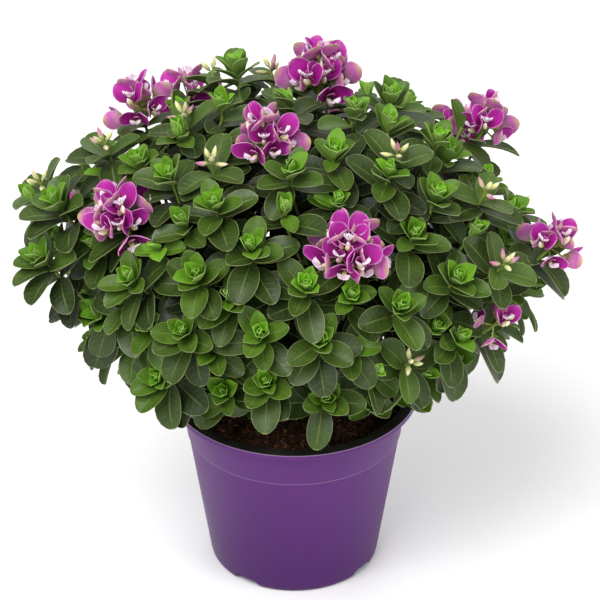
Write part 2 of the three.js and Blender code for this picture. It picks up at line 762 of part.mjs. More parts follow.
const HEAD_REACH = 14; // from the stem's end to where a flower's petals start
const HEAD_SPREAD = [14, 104]; // how far flowers turn away from the head's axis, first and last
const HEAD_DEPTH = 4; // the first flower leaves the stem this much further up than the last
const FIRST_FLOWER = 0.9; // where round the stem the first flower stands, in radians

// The flowers of a head: each has a place, a way it faces, and a way up.
function flowersOf(shoot) {
  const { growth, tip, size } = shoot;
  const across = shoot.branch.side;
  const out = growth.clone().cross(across);
  return Array.from({ length: shoot.flowers }, (_, k) => {
    const share = shoot.flowers > 1 ? k / (shoot.flowers - 1) : 0.4;
    const lean = radians(mix(HEAD_SPREAD[0], HEAD_SPREAD[1], share));
    const angle = k * GOLDEN_ANGLE + FIRST_FLOWER;
    const faces = growth
      .clone()
      .multiplyScalar(Math.cos(lean))
      .addScaledVector(across, Math.sin(lean) * Math.cos(angle))
      .addScaledVector(out, Math.sin(lean) * Math.sin(angle))
      .normalize();
    const upright = UP.clone().add(growth).addScaledVector(faces, -faces.dot(UP) - faces.dot(growth)).normalize();
    const foot = tip.clone().addScaledVector(growth, HEAD_DEPTH * size * (1 - share));
    const base = foot.addScaledVector(faces, HEAD_REACH * size);
    return { base, faces, upright, sideways: faces.clone().cross(upright), size };
  });
}

// A flower is one small solid: a spindle, stalk behind and keel in front, with two wings on its waist.
// Each row is a wing corner's place in wing lengths: sideways, upwards and forwards of the flower's base.
const WING_CORNERS = [
  [0.5, 0.04, 0.42],
  [0.62, 0.5, 0.66],
  [0.26, 0.78, 0.46],
];
const WAIST = [
  [0, 0.09],
  [0.09, -0.05],
];
const KEEL_REACH = 10;
const KEEL_RISE = 1;
const FOLD = [-0.4, 0.92]; // the way a wing's thickness is measured: upwards and forwards

function flowerSpot(flower, side, up, forward) {
  const length = WING_LENGTH * flower.size;
  return flower.base
    .clone()
    .addScaledVector(flower.sideways, side * length)
    .addScaledVector(flower.upright, up * length)
    .addScaledVector(flower.faces, forward * length);
}

function wingCorners(flower, hand) {
  return WING_CORNERS.map(([side, up, forward]) => flowerSpot(flower, side * hand, up, forward));
}

function keelTip(flower) {
  const reached = flower.base.clone().addScaledVector(flower.faces, KEEL_REACH * flower.size);
  return reached.addScaledVector(flower.upright, KEEL_RISE * flower.size);
}

function flowerSolid(flower, foot) {
  const [crown, flank] = WAIST;
  const spots = [
    flowerSpot(flower, 0, crown[1], 0),
    flowerSpot(flower, flank[0], flank[1], 0),
    ...wingCorners(flower, 1),
    flowerSpot(flower, -flank[0], flank[1], 0),
    ...wingCorners(flower, -1),
  ];
  // Corners 0 and 1, then 2 to 4, go round the right wing; 0 and 5, then 6 to 8, round the left one.
  const shift = flower.upright.clone().multiplyScalar(FOLD[0]).addScaledVector(flower.faces, FOLD[1]);
  const layer = (part) => spots.map((p) => p.clone().addScaledVector(shift, part * WING_THICKNESS));
  const layers = [...layer(0.5), ...layer(-0.5)];
  const points = [...layers, keelTip(flower), foot];
  const [count, keel, stalkFoot] = [spots.length, points.length - 2, points.length - 1];
  const front = [
    [0, 1, 2],
    [0, 2, 3],
    [0, 3, 4],
    [0, 6, 5],
    [0, 7, 6],
    [0, 8, 7],
  ];
  const corners = front.flatMap(([a, b, c]) => [a, b, c, a + count, c + count, b + count]);
  const rim = [0, 4, 3, 2, 1, 5, 6, 7, 8];
  rim.forEach((from, i) => {
    const to = rim[(i + 1) % rim.length];
    corners.push(from, to, from + count, to, to + count, from + count);
  });
  const waist = [0, 5, 1];
  waist.forEach((from, i) => {
    const to = waist[(i + 1) % waist.length];
    corners.push(from, to, keel, to + count, from + count, stalkFoot);
  });
  return solidOf(new THREE.BufferGeometry().setFromPoints(points).setIndex(corners));
}

// Turns and moves a shape that stands on the origin so that it runs from a point in a direction.
function pointed(shape, from, way) {
  shape.applyQuaternion(new THREE.Quaternion().setFromUnitVectors(UP, way));
  return solidOf(shape.translate(from.x, from.y, from.z));
}

// A bud and its stalk: a pointed drop, widest near its end.
function budSolid({ foot, end }) {
  const way = end.clone().sub(foot);
  const length = way.length();
  const profile = [
    [0, 0],
    [BUD_RADIUS, length * BUD_WIDEST],
    [0, length],
  ];
  return pointed(turned(profile, SIDES), foot, way.normalize());
}

// A head's short axis, standing on the stem's end.
function headAxis(shoot, length) {
  const rod = new THREE.CylinderGeometry(STEM_TIP_RADIUS, STEM_TIP_RADIUS, length, SIDES)
    .rotateX(Math.PI / 2)
    .translate(0, 0, length / 2 + GAP);
  return pointed(rod, shoot.tip, shoot.growth);
}

function makeHead(shoot) {
  const pieces = [headAxis(shoot, HEAD_AXIS * shoot.size)];
  shoot.flowerList.forEach((flower, k) => {
    const footHeight = mix(...HEAD_FEET, k / shoot.flowers) * shoot.size;
    const foot = shoot.tip.clone().addScaledVector(shoot.growth, footHeight);
    pieces.push(flowerSolid(flower, foot));
  });
  return largestBody(wasm.Manifold.union(pieces));
}

function budsOf(shoot) {
  const across = shoot.branch.side;
  const out = shoot.growth.clone().cross(across);
  return Array.from({ length: shoot.buds }, (_, k) => {
    const lean = radians(mix(BUD_SPREAD[0], BUD_SPREAD[1], k / (shoot.buds - 1)));
    const angle = k * GOLDEN_ANGLE;
    const way = shoot.growth
      .clone()
      .multiplyScalar(Math.cos(lean))
      .addScaledVector(across, Math.sin(lean) * Math.cos(angle))
      .addScaledVector(out, Math.sin(lean) * Math.sin(angle));
    const foot = shoot.tip.clone().addScaledVector(shoot.growth, mix(...SPRAY_FEET, k / shoot.buds));
    return { foot, end: foot.clone().addScaledVector(way, BUD_STALK + BUD_LENGTH) };
  });
}

function makeSpray(shoot) {
  const pieces = [headAxis(shoot, SPRAY_AXIS)];
  for (const bud of budsOf(shoot)) pieces.push(budSolid(bud));
  return largestBody(wasm.Manifold.union(pieces));
}

// The whole plant

function stemSamples(shoot) {
  const rings = shootRings(shoot);
  return rings.slice(1).flatMap((ring, i) => lineSamples(rings[i].at, ring.at));
}

function lineSamples(from, to) {
  const count = Math.ceil(from.distanceTo(to) / 2);
  return Array.from({ length: count + 1 }, (_, i) => from.clone().lerp(to, i / count));
}

function faceSamples(a, b, c) {
  const rows = 6;
  const points = [];
  for (let i = 0; i <= rows; i++) {
    const [from, to] = [a.clone().lerp(b, i / rows), a.clone().lerp(c, i / rows)];
    for (let j = 0; j <= i; j++) points.push(from.clone().lerp(to, i ? j / i : 0));
  }
  return points;
}

function petalSamples(shoot) {
  const points = [];
  for (const flower of shoot.flowerList ?? []) {
    for (const hand of [1, -1]) {
      const [low, outer, high] = wingCorners(flower, hand);
      points.push(...faceSamples(flower.base, low, outer), ...faceSamples(flower.base, outer, high));
    }
    points.push(...lineSamples(shoot.tip, flower.base), ...lineSamples(flower.base, keelTip(flower)));
  }
  const buds = shoot.kind === "spray" ? budsOf(shoot) : [];
  for (const bud of buds) points.push(...lineSamples(shoot.tip, bud.end));
  return points;
}

const shoots = listShoots();
const stems = shareShoots(shoots);
growStems(stems);
const room = new Room(LEAF_CLEARANCE);
const turns = drawsFrom(SEED_OF_TURNS);
shoots.forEach((shoot, owner) => {
  const phase = (turns() * 2 * Math.PI) / SIDES;
  shoot.whorls = WHORL_NUMBERS[shoot.kind].map((k) => ({ ...WHORLS[k], twist: phase + k * WHORL_TURN }));
  if (shoot.kind === "head") shoot.flowerList = flowersOf(shoot);
  room.add(petalSamples(shoot), "bloom " + owner);
  room.add(stemSamples(shoot), owner);
});
growLeaves(shoots, room);

const plant = new THREE.Group();
plant.add(meshOf("pot", makePot(), colours.pot));
plant.add(meshOf("compost", makeCompost(stems.map((stem) => stem.hole)), colours.compost));

const headShoots = shoots.filter((shoot) => shoot.kind === "head");
const heads = headShoots.map((shoot) => ({ shoot, solid: makeHead(shoot) }));
const sprayShoots = shoots.filter((shoot) => shoot.kind === "spray");
const sprays = sprayShoots.map((shoot) => ({ shoot, solid: makeSpray(shoot) }));
for (const { shoot, solid } of heads) plant.add(meshOf("flowers_" + shoot.name, solid, colours.petal));
for (const { shoot, solid } of sprays) plant.add(meshOf("buds_" + shoot.name, solid, colours.bud));

const stemSolid = (stem) => wasm.Manifold.union(stem.shoots.map((shoot) => tubeSolid(shootRings(shoot))));
const leafyStems = stems.map(stemSolid);
leafyStems.forEach((solid, i) => {
  plant.add(meshOf("leafy_stem_" + String(i + 1).padStart(2, "0"), solid, colours.leaf));
});
export default plant;
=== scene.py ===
# %% [markdown]
# # A potted milkwort in flower
#
# The real object is a small evergreen shrub, a myrtle-leaf milkwort, in the thin plastic pot that it was
# grown in. A few dozen shoots spring from a handful of stems and end in rosettes of thick grey-green
# leaves. Some of them carry heads of magenta flowers that look like sweet peas, each with a white brush on
# its keel.
#
# The solids of the part already stand in the right places. This script dresses them: every solid gets a
# finer piece of the same form, and the finer shoots, the veins and the colours are added. Places are worked
# out in millimetres, by the same rules as the solids, and are turned into metres when a mesh is made.

# %% Load the frame
import math

import bmesh
import bpy
import numpy as np
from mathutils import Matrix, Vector


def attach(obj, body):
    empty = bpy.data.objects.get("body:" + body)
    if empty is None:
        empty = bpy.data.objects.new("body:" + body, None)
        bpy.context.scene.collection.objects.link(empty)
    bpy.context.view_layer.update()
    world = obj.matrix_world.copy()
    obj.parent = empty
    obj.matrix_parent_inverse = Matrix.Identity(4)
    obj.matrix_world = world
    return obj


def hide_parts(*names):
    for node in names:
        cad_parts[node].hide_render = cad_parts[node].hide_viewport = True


MM = 0.001  # one millimetre in Blender's metres
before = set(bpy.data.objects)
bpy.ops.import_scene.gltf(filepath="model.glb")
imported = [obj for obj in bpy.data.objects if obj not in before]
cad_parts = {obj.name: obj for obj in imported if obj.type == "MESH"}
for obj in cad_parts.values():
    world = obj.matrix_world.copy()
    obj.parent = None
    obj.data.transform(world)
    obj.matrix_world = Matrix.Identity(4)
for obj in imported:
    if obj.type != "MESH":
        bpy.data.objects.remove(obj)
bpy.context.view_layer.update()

# %% [markdown]
# ## The camera
#
# A picture taken from two metres away shows a plant almost without perspective. The eye looks down at the
# pot by 30.9 degrees, which was found from the ellipses of the pot's lip and foot. The lens follows from
# the distance and from what one of the picture's 600 pixels measures at the plant, so nothing has to be
# shifted.

# %% Set the camera
EYE_ELEVATION = math.radians(30.9)
EYE_DISTANCE = 2220
LOOK_AT = np.array([4.0, 0.0, 201.0])
MM_PER_PIXEL = 0.676
PICTURE_SIDE = 600
SENSOR_WIDTH = 36

forward = np.array([0.0, math.cos(EYE_ELEVATION), -math.sin(EYE_ELEVATION)])
rise = np.array([0.0, math.sin(EYE_ELEVATION), math.cos(EYE_ELEVATION)])
eye = LOOK_AT - forward * EYE_DISTANCE

lens = bpy.data.cameras.new("camera")
lens.sensor_width = SENSOR_WIDTH
lens.lens = SENSOR_WIDTH * EYE_DISTANCE / (MM_PER_PIXEL * PICTURE_SIDE)
camera = bpy.data.objects.new("camera", lens)
camera.location = eye * MM
camera.rotation_euler = (math.pi / 2 - EYE_ELEVATION, 0, 0)
bpy.context.scene.collection.objects.link(camera)
bpy.context.scene.camera = camera
print("lens", round(lens.lens, 1), "mm")

# %% [markdown]
# ## Floor and light
#
# A plant photographer stands the pot on a white sweep and surrounds it with large soft lamps, so that
# shadows gather only where leaves close the light out. A pale world gives that all-round light. One large
# lamp above the left shoulder and a weaker one on the right give the leaves their form, and the floor stays
# plain. The Standard view keeps the floor white and the petals as strong as they are.

# %% Hang the lamps
WORLD_LIGHT = 0.5
LAMPS = [
    {"name": "key_lamp", "place": (-1.0, -1.5, 2.7), "size": 2.1, "power": 96},
    {"name": "fill_lamp", "place": (2.2, -1.3, 1.5), "size": 1.6, "power": 24},
    {"name": "back_lamp", "place": (0.3, 2.2, 2.2), "size": 2.0, "power": 24},
]

scene = bpy.context.scene
scene.view_settings.view_transform = "Standard"
world = bpy.data.worlds.new("soft_room")
world.use_nodes = True
world.node_tree.nodes["Background"].inputs["Color"].default_value = (1, 1, 1, 1)
world.node_tree.nodes["Background"].inputs["Strength"].default_value = WORLD_LIGHT
scene.world = world

for entry in LAMPS:
    bulb = bpy.data.lights.new(entry["name"], "AREA")
    bulb.size = entry["size"]
    bulb.energy = entry["power"]
    lamp = bpy.data.objects.new(entry["name"], bulb)
    lamp.location = entry["place"]
    aim = Vector(LOOK_AT * MM) - lamp.location
    lamp.rotation_euler = aim.to_track_quat("-Z", "Y").to_euler()
    scene.collection.objects.link(lamp)
print("lamps:", len(LAMPS))

# %% [markdown]
# ## Writing materials as sums
#
# A finish is mostly arithmetic: how near the midrib a point lies, how old its leaf is, how much paler its
# edge. In the shader editor each sum is a node, which soon fills the screen. Here one small class stands
# for a node's socket, and adding or multiplying two of them adds the node, so a finish reads like a
# formula. Any other node comes from one method, which takes its type, its settings and the values or links
# of its sockets. Nearly all noise in Blender lies between 0.3 and 0.7, so one method spreads that range
# over what a finish asks for.


# %% The class that stands for a socket
NOISE_RANGE = (0.3, 0.7)


class Wire:
    """A socket of a material, on which plain arithmetic adds Math nodes."""

    def __init__(self, tree, socket=None):
        self.tree = tree
        self.socket = socket

    def node(self, kind, settings=None, sockets=None, output=0):
        made = self.tree.nodes.new(kind)
        for name, value in (settings or {}).items():
            if name == "stops":
                set_stops(made.color_ramp, value)
            else:
                setattr(made, name, value)
        for key, value in (sockets or {}).items():
            if isinstance(value, Wire):
                self.tree.links.new(value.socket, made.inputs[key])
            else:
                made.inputs[key].default_value = value
        return Wire(self.tree, made.outputs[output])

    def sum(self, operation, *values):
        return self.node("ShaderNodeMath", {"operation": operation}, dict(enumerate(values)))

    def __add__(self, other):
        return self.sum("ADD", self, other)

    __radd__ = __add__

    def __sub__(self, other):
        return self.sum("SUBTRACT", self, other)

    def __rsub__(self, other):
        return self.sum("SUBTRACT", other, self)

    def __mul__(self, other):
        return self.sum("MULTIPLY", self, other)

    __rmul__ = __mul__

    def __abs__(self):
        return self.sum("ABSOLUTE", self)

    def ramp(self, start, end, low=0.0, high=1.0):
        """Smoothly from low to high while this value goes from start to end."""
        bounds = {"Value": self, "From Min": start, "From Max": end, "To Min": low, "To Max": high}
        return self.node("ShaderNodeMapRange", {"interpolation_type": "SMOOTHSTEP"}, bounds)

    def spread(self, low=0.0, high=1.0):
        """From low to high over the range of a noise."""
        return self.ramp(*NOISE_RANGE, low, high)

    def blend(self, first, second):
        """The first colour where this value is 0, the second where it is 1."""
        return self.node("ShaderNodeMix", {"data_type": "RGBA"}, {0: self, 6: first, 7: second}, 2)

    def split(self):
        """The three parts of a vector."""
        parts = self.node("ShaderNodeSeparateXYZ", None, {"Vector": self}).socket.node
        return [Wire(self.tree, socket) for socket in parts.outputs]

    def fraction(self):
        return self.sum("FRACT", self)

    def over(self, limit):
        """1 where this value is greater than the limit, 0 elsewhere."""
        return self.sum("GREATER_THAN", self, limit)

    def larger(self, other):
        return self.sum("MAXIMUM", self, other)

    def stain(self, stops):
        """A colour for this value, from a row of places and colours."""
        return self.node("ShaderNodeValToRGB", {"stops": stops}, {"Fac": self})

    def shade(self, colour):
        """A colour made lighter or darker by this value."""
        return self.node("ShaderNodeVectorMath", {"operation": "SCALE"}, {0: colour, "Scale": self})


def set_stops(ramp, stops):
    """Gives a colour ramp its stops, each a place and a colour."""
    while len(ramp.elements) < len(stops):
        ramp.elements.new(1.0)
    for element, (place, colour) in zip(ramp.elements, stops):
        element.position = place
        element.color = colour


def paint(red, green, blue):
    """A colour as a paint chart gives it, 0 to 255, in the linear values that Blender counts with."""
    parts = [c / 255 for c in (red, green, blue)]
    linear = [c / 12.92 if c <= 0.04045 else ((c + 0.055) / 1.055) ** 2.4 for c in parts]
    return (*linear, 1.0)


# %% [markdown]
# Each material starts from the Principled shader. What is the same all over the surface is set on the
# shader itself, and what changes from place to place is linked to it afterwards.


# %% Start a material, and finish it
def start_material(name, **constants):
    """A new material with its constant settings, and a wire to build the rest from."""
    material = bpy.data.materials.new(name)
    material.use_nodes = True
    shader = material.node_tree.nodes["Principled BSDF"]
    for socket, value in constants.items():
        shader.inputs[socket.replace("_", " ")].default_value = value
    return material, Wire(material.node_tree)


def finish_material(material, colour, roughness=None, height=None, strength=0.3, distance=0.0004):
    """Links a colour, a roughness and a height, which becomes bump, to the shader."""
    tree = material.node_tree
    shader = tree.nodes["Principled BSDF"]
    tree.links.new(colour.socket, shader.inputs["Base Color"])
    if roughness is not None:
        tree.links.new(roughness.socket, shader.inputs["Roughness"])
    if height is not None:
        sockets = {"Height": height, "Strength": strength, "Distance": distance}
        bump = Wire(tree).node("ShaderNodeBump", None, sockets)
        tree.links.new(bump.socket, shader.inputs["Normal"])
    return material


OBJECT_OUTPUT = 3  # of a Texture Coordinate node


def place_on_object(wire):
    return wire.node("ShaderNodeTexCoord", output=OBJECT_OUTPUT)


def grain(wire, scale, detail=3.0, roughness=0.5, stretch=None):
    """Noise on the object's own coordinates, stretched where it is given."""
    spot = place_on_object(wire)
    if stretch is not None:
        spot = wire.node("ShaderNodeMapping", None, {"Vector": spot, "Scale": stretch})
    sockets = {"Vector": spot, "Scale": scale, "Detail": detail, "Roughness": roughness}
    return wire.node("ShaderNodeTexNoise", None, sockets)


# %% [markdown]
# The floor stands for a white sweep. It is far larger than the plant, so that its edge never shows, and it
# is attached to no body, which keeps it out of the finished part.

# %% Lay the floor
FLOOR_SIDE = 16
FLOOR_PAINT = paint(253, 253, 253)

bpy.ops.object.select_all(action="DESELECT")
bpy.ops.mesh.primitive_plane_add(size=FLOOR_SIDE)
floor = bpy.context.object
floor.name = "floor"
floor_finish, wire = start_material("plain_floor", Base_Color=FLOOR_PAINT, Roughness=0.85)
floor.data.materials.append(floor_finish)
print("floor", FLOOR_SIDE, "m wide")

# %% [markdown]
# ## The pot
#
# A nursery pot is drawn from one thin sheet of warm plastic into a mould, so it has the same small
# thickness everywhere, soft edges, a lip that is turned down for stiffness and a faint ring where stacked
# pots rest in each other. It could be a cylinder with its wall hollowed out, but a spun profile gives every
# rounding exactly. The four drainage channels under the floor break through the foot of the wall as low
# notches, and are cut and raised with booleans, as they are in the solid.

# %% Draw and spin the pot's wall
POT_HEIGHT = 131
LIP_RADIUS = 85
WALL_TOP_RADIUS = 78
WALL_FOOT_RADIUS = 58
WALL = 1.3
SPIN_STEPS = 180
MERGE_WITHIN = 0.02
RING_BELOW_LIP = 31
RING_LEVEL = POT_HEIGHT - RING_BELOW_LIP
RING_STEP = 0.6
RING_DENT = 0.1
RING_ROUNDS = (1.2, 0.4, 0.6)  # where the step starts, sharpens and ends, below and above the ring
WALL_LEVELS = (20.0, 45.0, 70.0)
COLLAR_LEVEL = 123.0
COLLAR_STEP = 0.2
INSIDE_LEVELS = (127.0, 116.5, 114.0, 90.0, 60.0, 30.0, 7.0)
FLOOR_RING = 30.0
FLOOR_BEND = [(56.6, 3.4), (55.6, 2.0), (54.0, 1.4)]
FOOT_BEND = [(54.6, 0.0), (56.2, 0.35), (57.4, 1.3), (58.2, 2.9), (58.8, 5.4)]
LIP_BEND = [
    (78.0, 128.7),
    (78.5, 129.4),
    (79.6, 129.7),
    (83.2, 129.7),
    (83.7, 129.3),
    (83.75, 127.5),
    (84.0, 127.1),
    (84.5, 127.0),
    (84.9, 127.4),
    (85.0, 128.4),
    (85.0, 129.9),
    (84.7, 130.7),
    (84.0, 131.0),
    (78.2, 131.0),
    (77.2, 130.8),
    (76.75, 130.1),
]


def wall_radius(z):
    return WALL_FOOT_RADIUS + (WALL_TOP_RADIUS - WALL_FOOT_RADIUS) * z / POT_HEIGHT


def wall_outside():
    """The wall's outer line from the foot up, with the stacking ring's small step."""
    start, sharp, end = RING_ROUNDS
    return [
        *[(wall_radius(z), z) for z in (*WALL_LEVELS, RING_LEVEL - start)],
        (wall_radius(RING_LEVEL) - RING_DENT, RING_LEVEL - sharp),
        (wall_radius(RING_LEVEL) + RING_STEP - RING_DENT, RING_LEVEL),
        (wall_radius(RING_LEVEL + 1) + RING_STEP, RING_LEVEL + end),
        (wall_radius(COLLAR_LEVEL) + COLLAR_STEP, COLLAR_LEVEL),
    ]


outside = FOOT_BEND + wall_outside() + LIP_BEND
inside = [(wall_radius(z) - WALL, z) for z in INSIDE_LEVELS] + FLOOR_BEND
profile = [(0.0, 0.0), (FLOOR_RING, 0.0), *outside, *inside, (FLOOR_RING, WALL), (0.0, WALL)]


def take_up(piece):
    """Makes one object the only selected one, ready for an operator."""
    bpy.ops.object.select_all(action="DESELECT")
    piece.select_set(True)
    bpy.context.view_layer.objects.active = piece


def apply_modifier(piece, kind, **settings):
    take_up(piece)
    modifier = piece.modifiers.new(kind.lower(), kind)
    for name, value in settings.items():
        setattr(modifier, name, value)
    bpy.ops.object.modifier_apply(modifier=modifier.name)


def smooth(piece, angle):
    """Shades a piece smooth, but for edges sharper than an angle in degrees."""
    take_up(piece)
    bpy.ops.object.shade_smooth_by_angle(angle=math.radians(angle))


def spin_profile(name, line, steps):
    """A closed shape turned from a line of radii and heights in millimetres."""
    mesh = bpy.data.meshes.new(name)
    spots = [(r * MM, 0, z * MM) for r, z in line]
    mesh.from_pydata(spots, [(i, i + 1) for i in range(len(line) - 1)], [])
    turned = bpy.data.objects.new(name, mesh)
    scene.collection.objects.link(turned)
    take_up(turned)
    bpy.ops.object.mode_set(mode="EDIT")
    bpy.ops.mesh.select_all(action="SELECT")
    bpy.ops.mesh.spin(steps=steps, angle=math.tau, center=(0, 0, 0), axis=(0, 0, 1))
    bpy.ops.mesh.select_all(action="SELECT")
    bpy.ops.mesh.remove_doubles(threshold=MERGE_WITHIN * MM)
    bpy.ops.mesh.normals_make_consistent(inside=False)
    bpy.ops.object.mode_set(mode="OBJECT")
    return turned


pot = spin_profile("pot_fine", profile, SPIN_STEPS)
print("faces of the spun wall:", len(pot.data.polygons))

# %% [markdown]
# ### The drainage channels
#
# Each channel is a low ridge with sloping sides that runs outwards under the floor. The ridge is joined to
# the shell first, cut off where the foot of the wall ends, and the hollow under it is cut away afterwards,
# together with a round drain hole in its roof.

# %% Raise and cut the channels
CHANNEL_BEARINGS = [-35, 55, 145, 235]
CHANNEL_FOOT_WIDTH = 24
CHANNEL_ROOF_WIDTH = 15
CHANNEL_HEIGHT = 5.5
CHANNEL_START = 16
CHANNEL_INSET = 0.2
CHANNEL_EDGE = 2.0
CHANNEL_EDGE_STEPS = 5
BELOW_GROUND = 1
DRAIN_RADIUS = 3.5
DRAIN_REACH = 38
DRAIN_SIDES = 24
OVERSHOOT = 8
FOOT_INSET = 0.02  # keeps a ridge's end just inside the wall's own skin
FILLED_TO = 20.0  # height of the solid foot that cuts a ridge off
POT_CREASE = 32


def channel_prism(bearing, grown, reach):
    """The straight prism of a channel at its bearing; grown is what is added all round it."""
    start = CHANNEL_START - grown
    height = CHANNEL_HEIGHT + grown + BELOW_GROUND
    bpy.ops.object.select_all(action="DESELECT")
    bpy.ops.mesh.primitive_cube_add(size=1)
    prism = bpy.context.object
    bpy.ops.object.mode_set(mode="EDIT")
    bpy.ops.mesh.select_all(action="SELECT")
    bpy.ops.transform.translate(value=(0, -0.5, 0.5))
    size = ((CHANNEL_FOOT_WIDTH + 2 * grown) * MM, (reach - start) * MM, height * MM)
    bpy.ops.transform.resize(value=size, center_override=(0, 0, 0))
    shape = bmesh.from_edit_mesh(prism.data)
    roof_share = (CHANNEL_ROOF_WIDTH + 2 * grown) / (CHANNEL_FOOT_WIDTH + 2 * grown)
    for vertex in shape.verts:
        vertex.select_set(vertex.co.z > height * MM / 2)
    shape.select_flush(True)
    bmesh.update_edit_mesh(prism.data)
    bpy.ops.transform.resize(value=(roof_share, 1, 1), center_override=(0, 0, 0))
    bpy.ops.mesh.select_all(action="DESELECT")
    shape = bmesh.from_edit_mesh(prism.data)
    for line in shape.edges:
        one, other = (vertex.co for vertex in line.verts)
        is_long = abs(one.y - other.y) > abs(one.x - other.x)
        line.select_set(is_long and min(one.z, other.z) > height * MM / 2)
    bmesh.update_edit_mesh(prism.data)
    bevel = (CHANNEL_EDGE + grown) * MM
    bpy.ops.mesh.bevel(offset=bevel, segments=CHANNEL_EDGE_STEPS, affect="EDGES")
    bpy.ops.mesh.select_all(action="SELECT")
    bpy.ops.transform.translate(value=(0, -start * MM, -BELOW_GROUND * MM))
    bpy.ops.object.mode_set(mode="OBJECT")
    prism.rotation_euler.z = math.radians(bearing)
    bpy.ops.object.transform_apply(rotation=True)
    return prism


def combine(piece, tool, operation):
    """Joins a tool to a piece, or cuts the piece with it, and removes the tool."""
    apply_modifier(piece, "BOOLEAN", operation=operation, solver="EXACT", object=tool)
    bpy.data.objects.remove(tool)


filled_foot = [(0.0, 0.0), (FLOOR_RING, 0.0)]
filled_foot += [(r - FOOT_INSET, z) for r, z in FOOT_BEND]
filled_foot += [(wall_radius(FILLED_TO) - FOOT_INSET, FILLED_TO), (0.0, FILLED_TO)]


def trim_below_ground(piece):
    take = 4 * LIP_RADIUS * MM
    bpy.ops.object.select_all(action="DESELECT")
    bpy.ops.mesh.primitive_cube_add(size=take, location=(0, 0, -take / 2))
    combine(piece, bpy.context.object, "DIFFERENCE")


for bearing in CHANNEL_BEARINGS:
    ridge = channel_prism(bearing, WALL, WALL_FOOT_RADIUS - CHANNEL_INSET)
    trim_below_ground(ridge)
    combine(ridge, spin_profile("filled_foot", filled_foot, SPIN_STEPS), "INTERSECT")
    combine(pot, ridge, "UNION")
for bearing in CHANNEL_BEARINGS:
    combine(pot, channel_prism(bearing, 0, WALL_FOOT_RADIUS + OVERSHOOT), "DIFFERENCE")
    turn = math.radians(bearing)
    middle = (math.sin(turn) * DRAIN_REACH * MM, -math.cos(turn) * DRAIN_REACH * MM, CHANNEL_HEIGHT * MM)
    bpy.ops.object.select_all(action="DESELECT")
    bpy.ops.mesh.primitive_cylinder_add(
        vertices=DRAIN_SIDES, radius=DRAIN_RADIUS * MM, depth=OVERSHOOT * MM, location=middle
    )
    combine(pot, bpy.context.object, "DIFFERENCE")
smooth(pot, POT_CREASE)
print("faces of the pot:", len(pot.data.polygons), "box:", [round(side / MM, 1) for side in pot.dimensions])

# %% [markdown]
# ### What the pot looks like
#
# The plastic is violet all through, with the satin skin that a mould leaves. Its colour is painted a little
# lighter towards the lip and darker towards the foot, as painted light and shade from the lamps above. A
# photograph of plastic would add nothing, so faint clouds and a fine grain are enough. Light catches the edge
# of the lip and the step of the stacking ring in two pale lines, painted highlights which are drawn by height
# and by distance from the middle. The top of the lip and the inside of the pot are stained dark by soil, so
# they get a lining of their own.

# %% Dress the pot
RING_LINE_RISE = 0.2
RING_LINE_HALF = (0.2, 0.6)  # where the pale line is full and where it has faded, from its middle
RING_LINE_SHARE = 0.34
LIP_LINE_INSIDE = (0.9, 0.2)  # from the lip's outer edge
LIP_LINE_BELOW = (1.2, 0.2)  # from the lip's top
LIP_LINE_SHARE = 0.7
LEVEL_FACE = 0.5  # least upward part of the normal of a face that lies level
INWARD_FACE = 0.1
FLOOR_TOP = 12

plastic, wire = start_material("pot_plastic", Specular_IOR_Level=0.28)
aside, ahead, height = place_on_object(wire).split()
reach = wire.sum("SQRT", aside * aside + ahead * ahead)
cloud = grain(wire, 14, 2.0, 0.4)
# The height ramp is painted light and shade: the violet is darker at the foot and lighter at the lip.
skin = height.ramp(0.0, POT_HEIGHT * MM).blend(paint(68, 12, 90), paint(87, 32, 110))
skin = cloud.spread(0.92, 1.08).shade(skin)
full, faded = (width * MM for width in RING_LINE_HALF)
ring_line = abs(height - (RING_LEVEL + RING_LINE_RISE) * MM).ramp(full, faded, RING_LINE_SHARE, 0.0)
skin = ring_line.blend(skin, paint(184, 156, 190))
near_edge = reach.ramp(*[(LIP_RADIUS - inside) * MM for inside in LIP_LINE_INSIDE])
near_top = height.ramp(*[(POT_HEIGHT - below) * MM for below in LIP_LINE_BELOW])
skin = (near_edge * near_top * LIP_LINE_SHARE).blend(skin, paint(176, 156, 180))
mould_grain = grain(wire, 900, 2.0, 0.5)
finish_material(plastic, skin, cloud.spread(0.4, 0.5), mould_grain, 0.05, 0.0002)

lining, wire = start_material("pot_lining", Specular_IOR_Level=0.5)
cloud = grain(wire, 60, 3.0, 0.5)
dull = cloud.spread().blend(paint(26, 27, 25), paint(44, 42, 40))
finish_material(lining, dull, cloud.spread(0.34, 0.5), cloud, 0.1, 0.0003)
pot.data.materials.append(plastic)
pot.data.materials.append(lining)
for face in pot.data.polygons:
    middle = face.center / MM
    reach = math.hypot(middle.x, middle.y)
    faces_in = face.normal.x * middle.x + face.normal.y * middle.y < -INWARD_FACE * reach
    is_level = face.normal.z > LEVEL_FACE
    is_lip_top = is_level and middle.z > POT_HEIGHT - 1 and reach < LIP_RADIUS - 0.4
    is_floor = is_level and middle.z < FLOOR_TOP
    is_within = reach < wall_radius(middle.z) - 0.5 * WALL
    face.material_index = 1 if is_lip_top or is_floor or (faces_in and is_within) else 0
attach(pot, "root")
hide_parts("pot")
print("faces of the lining:", sum(face.material_index for face in pot.data.polygons))

# %% [markdown]
# ## The compost
#
# Potting compost is dark peat with crumbs of every size and reddish threads of root and bark. One bumpy
# disc would look like mud, so its surface is lifted and lowered in three sizes of lumps, and crumbs and
# threads are strewn over it later. Below the surface it fills the pot, and its underside keeps clear of the
# channels, because it can be seen through the drain holes.

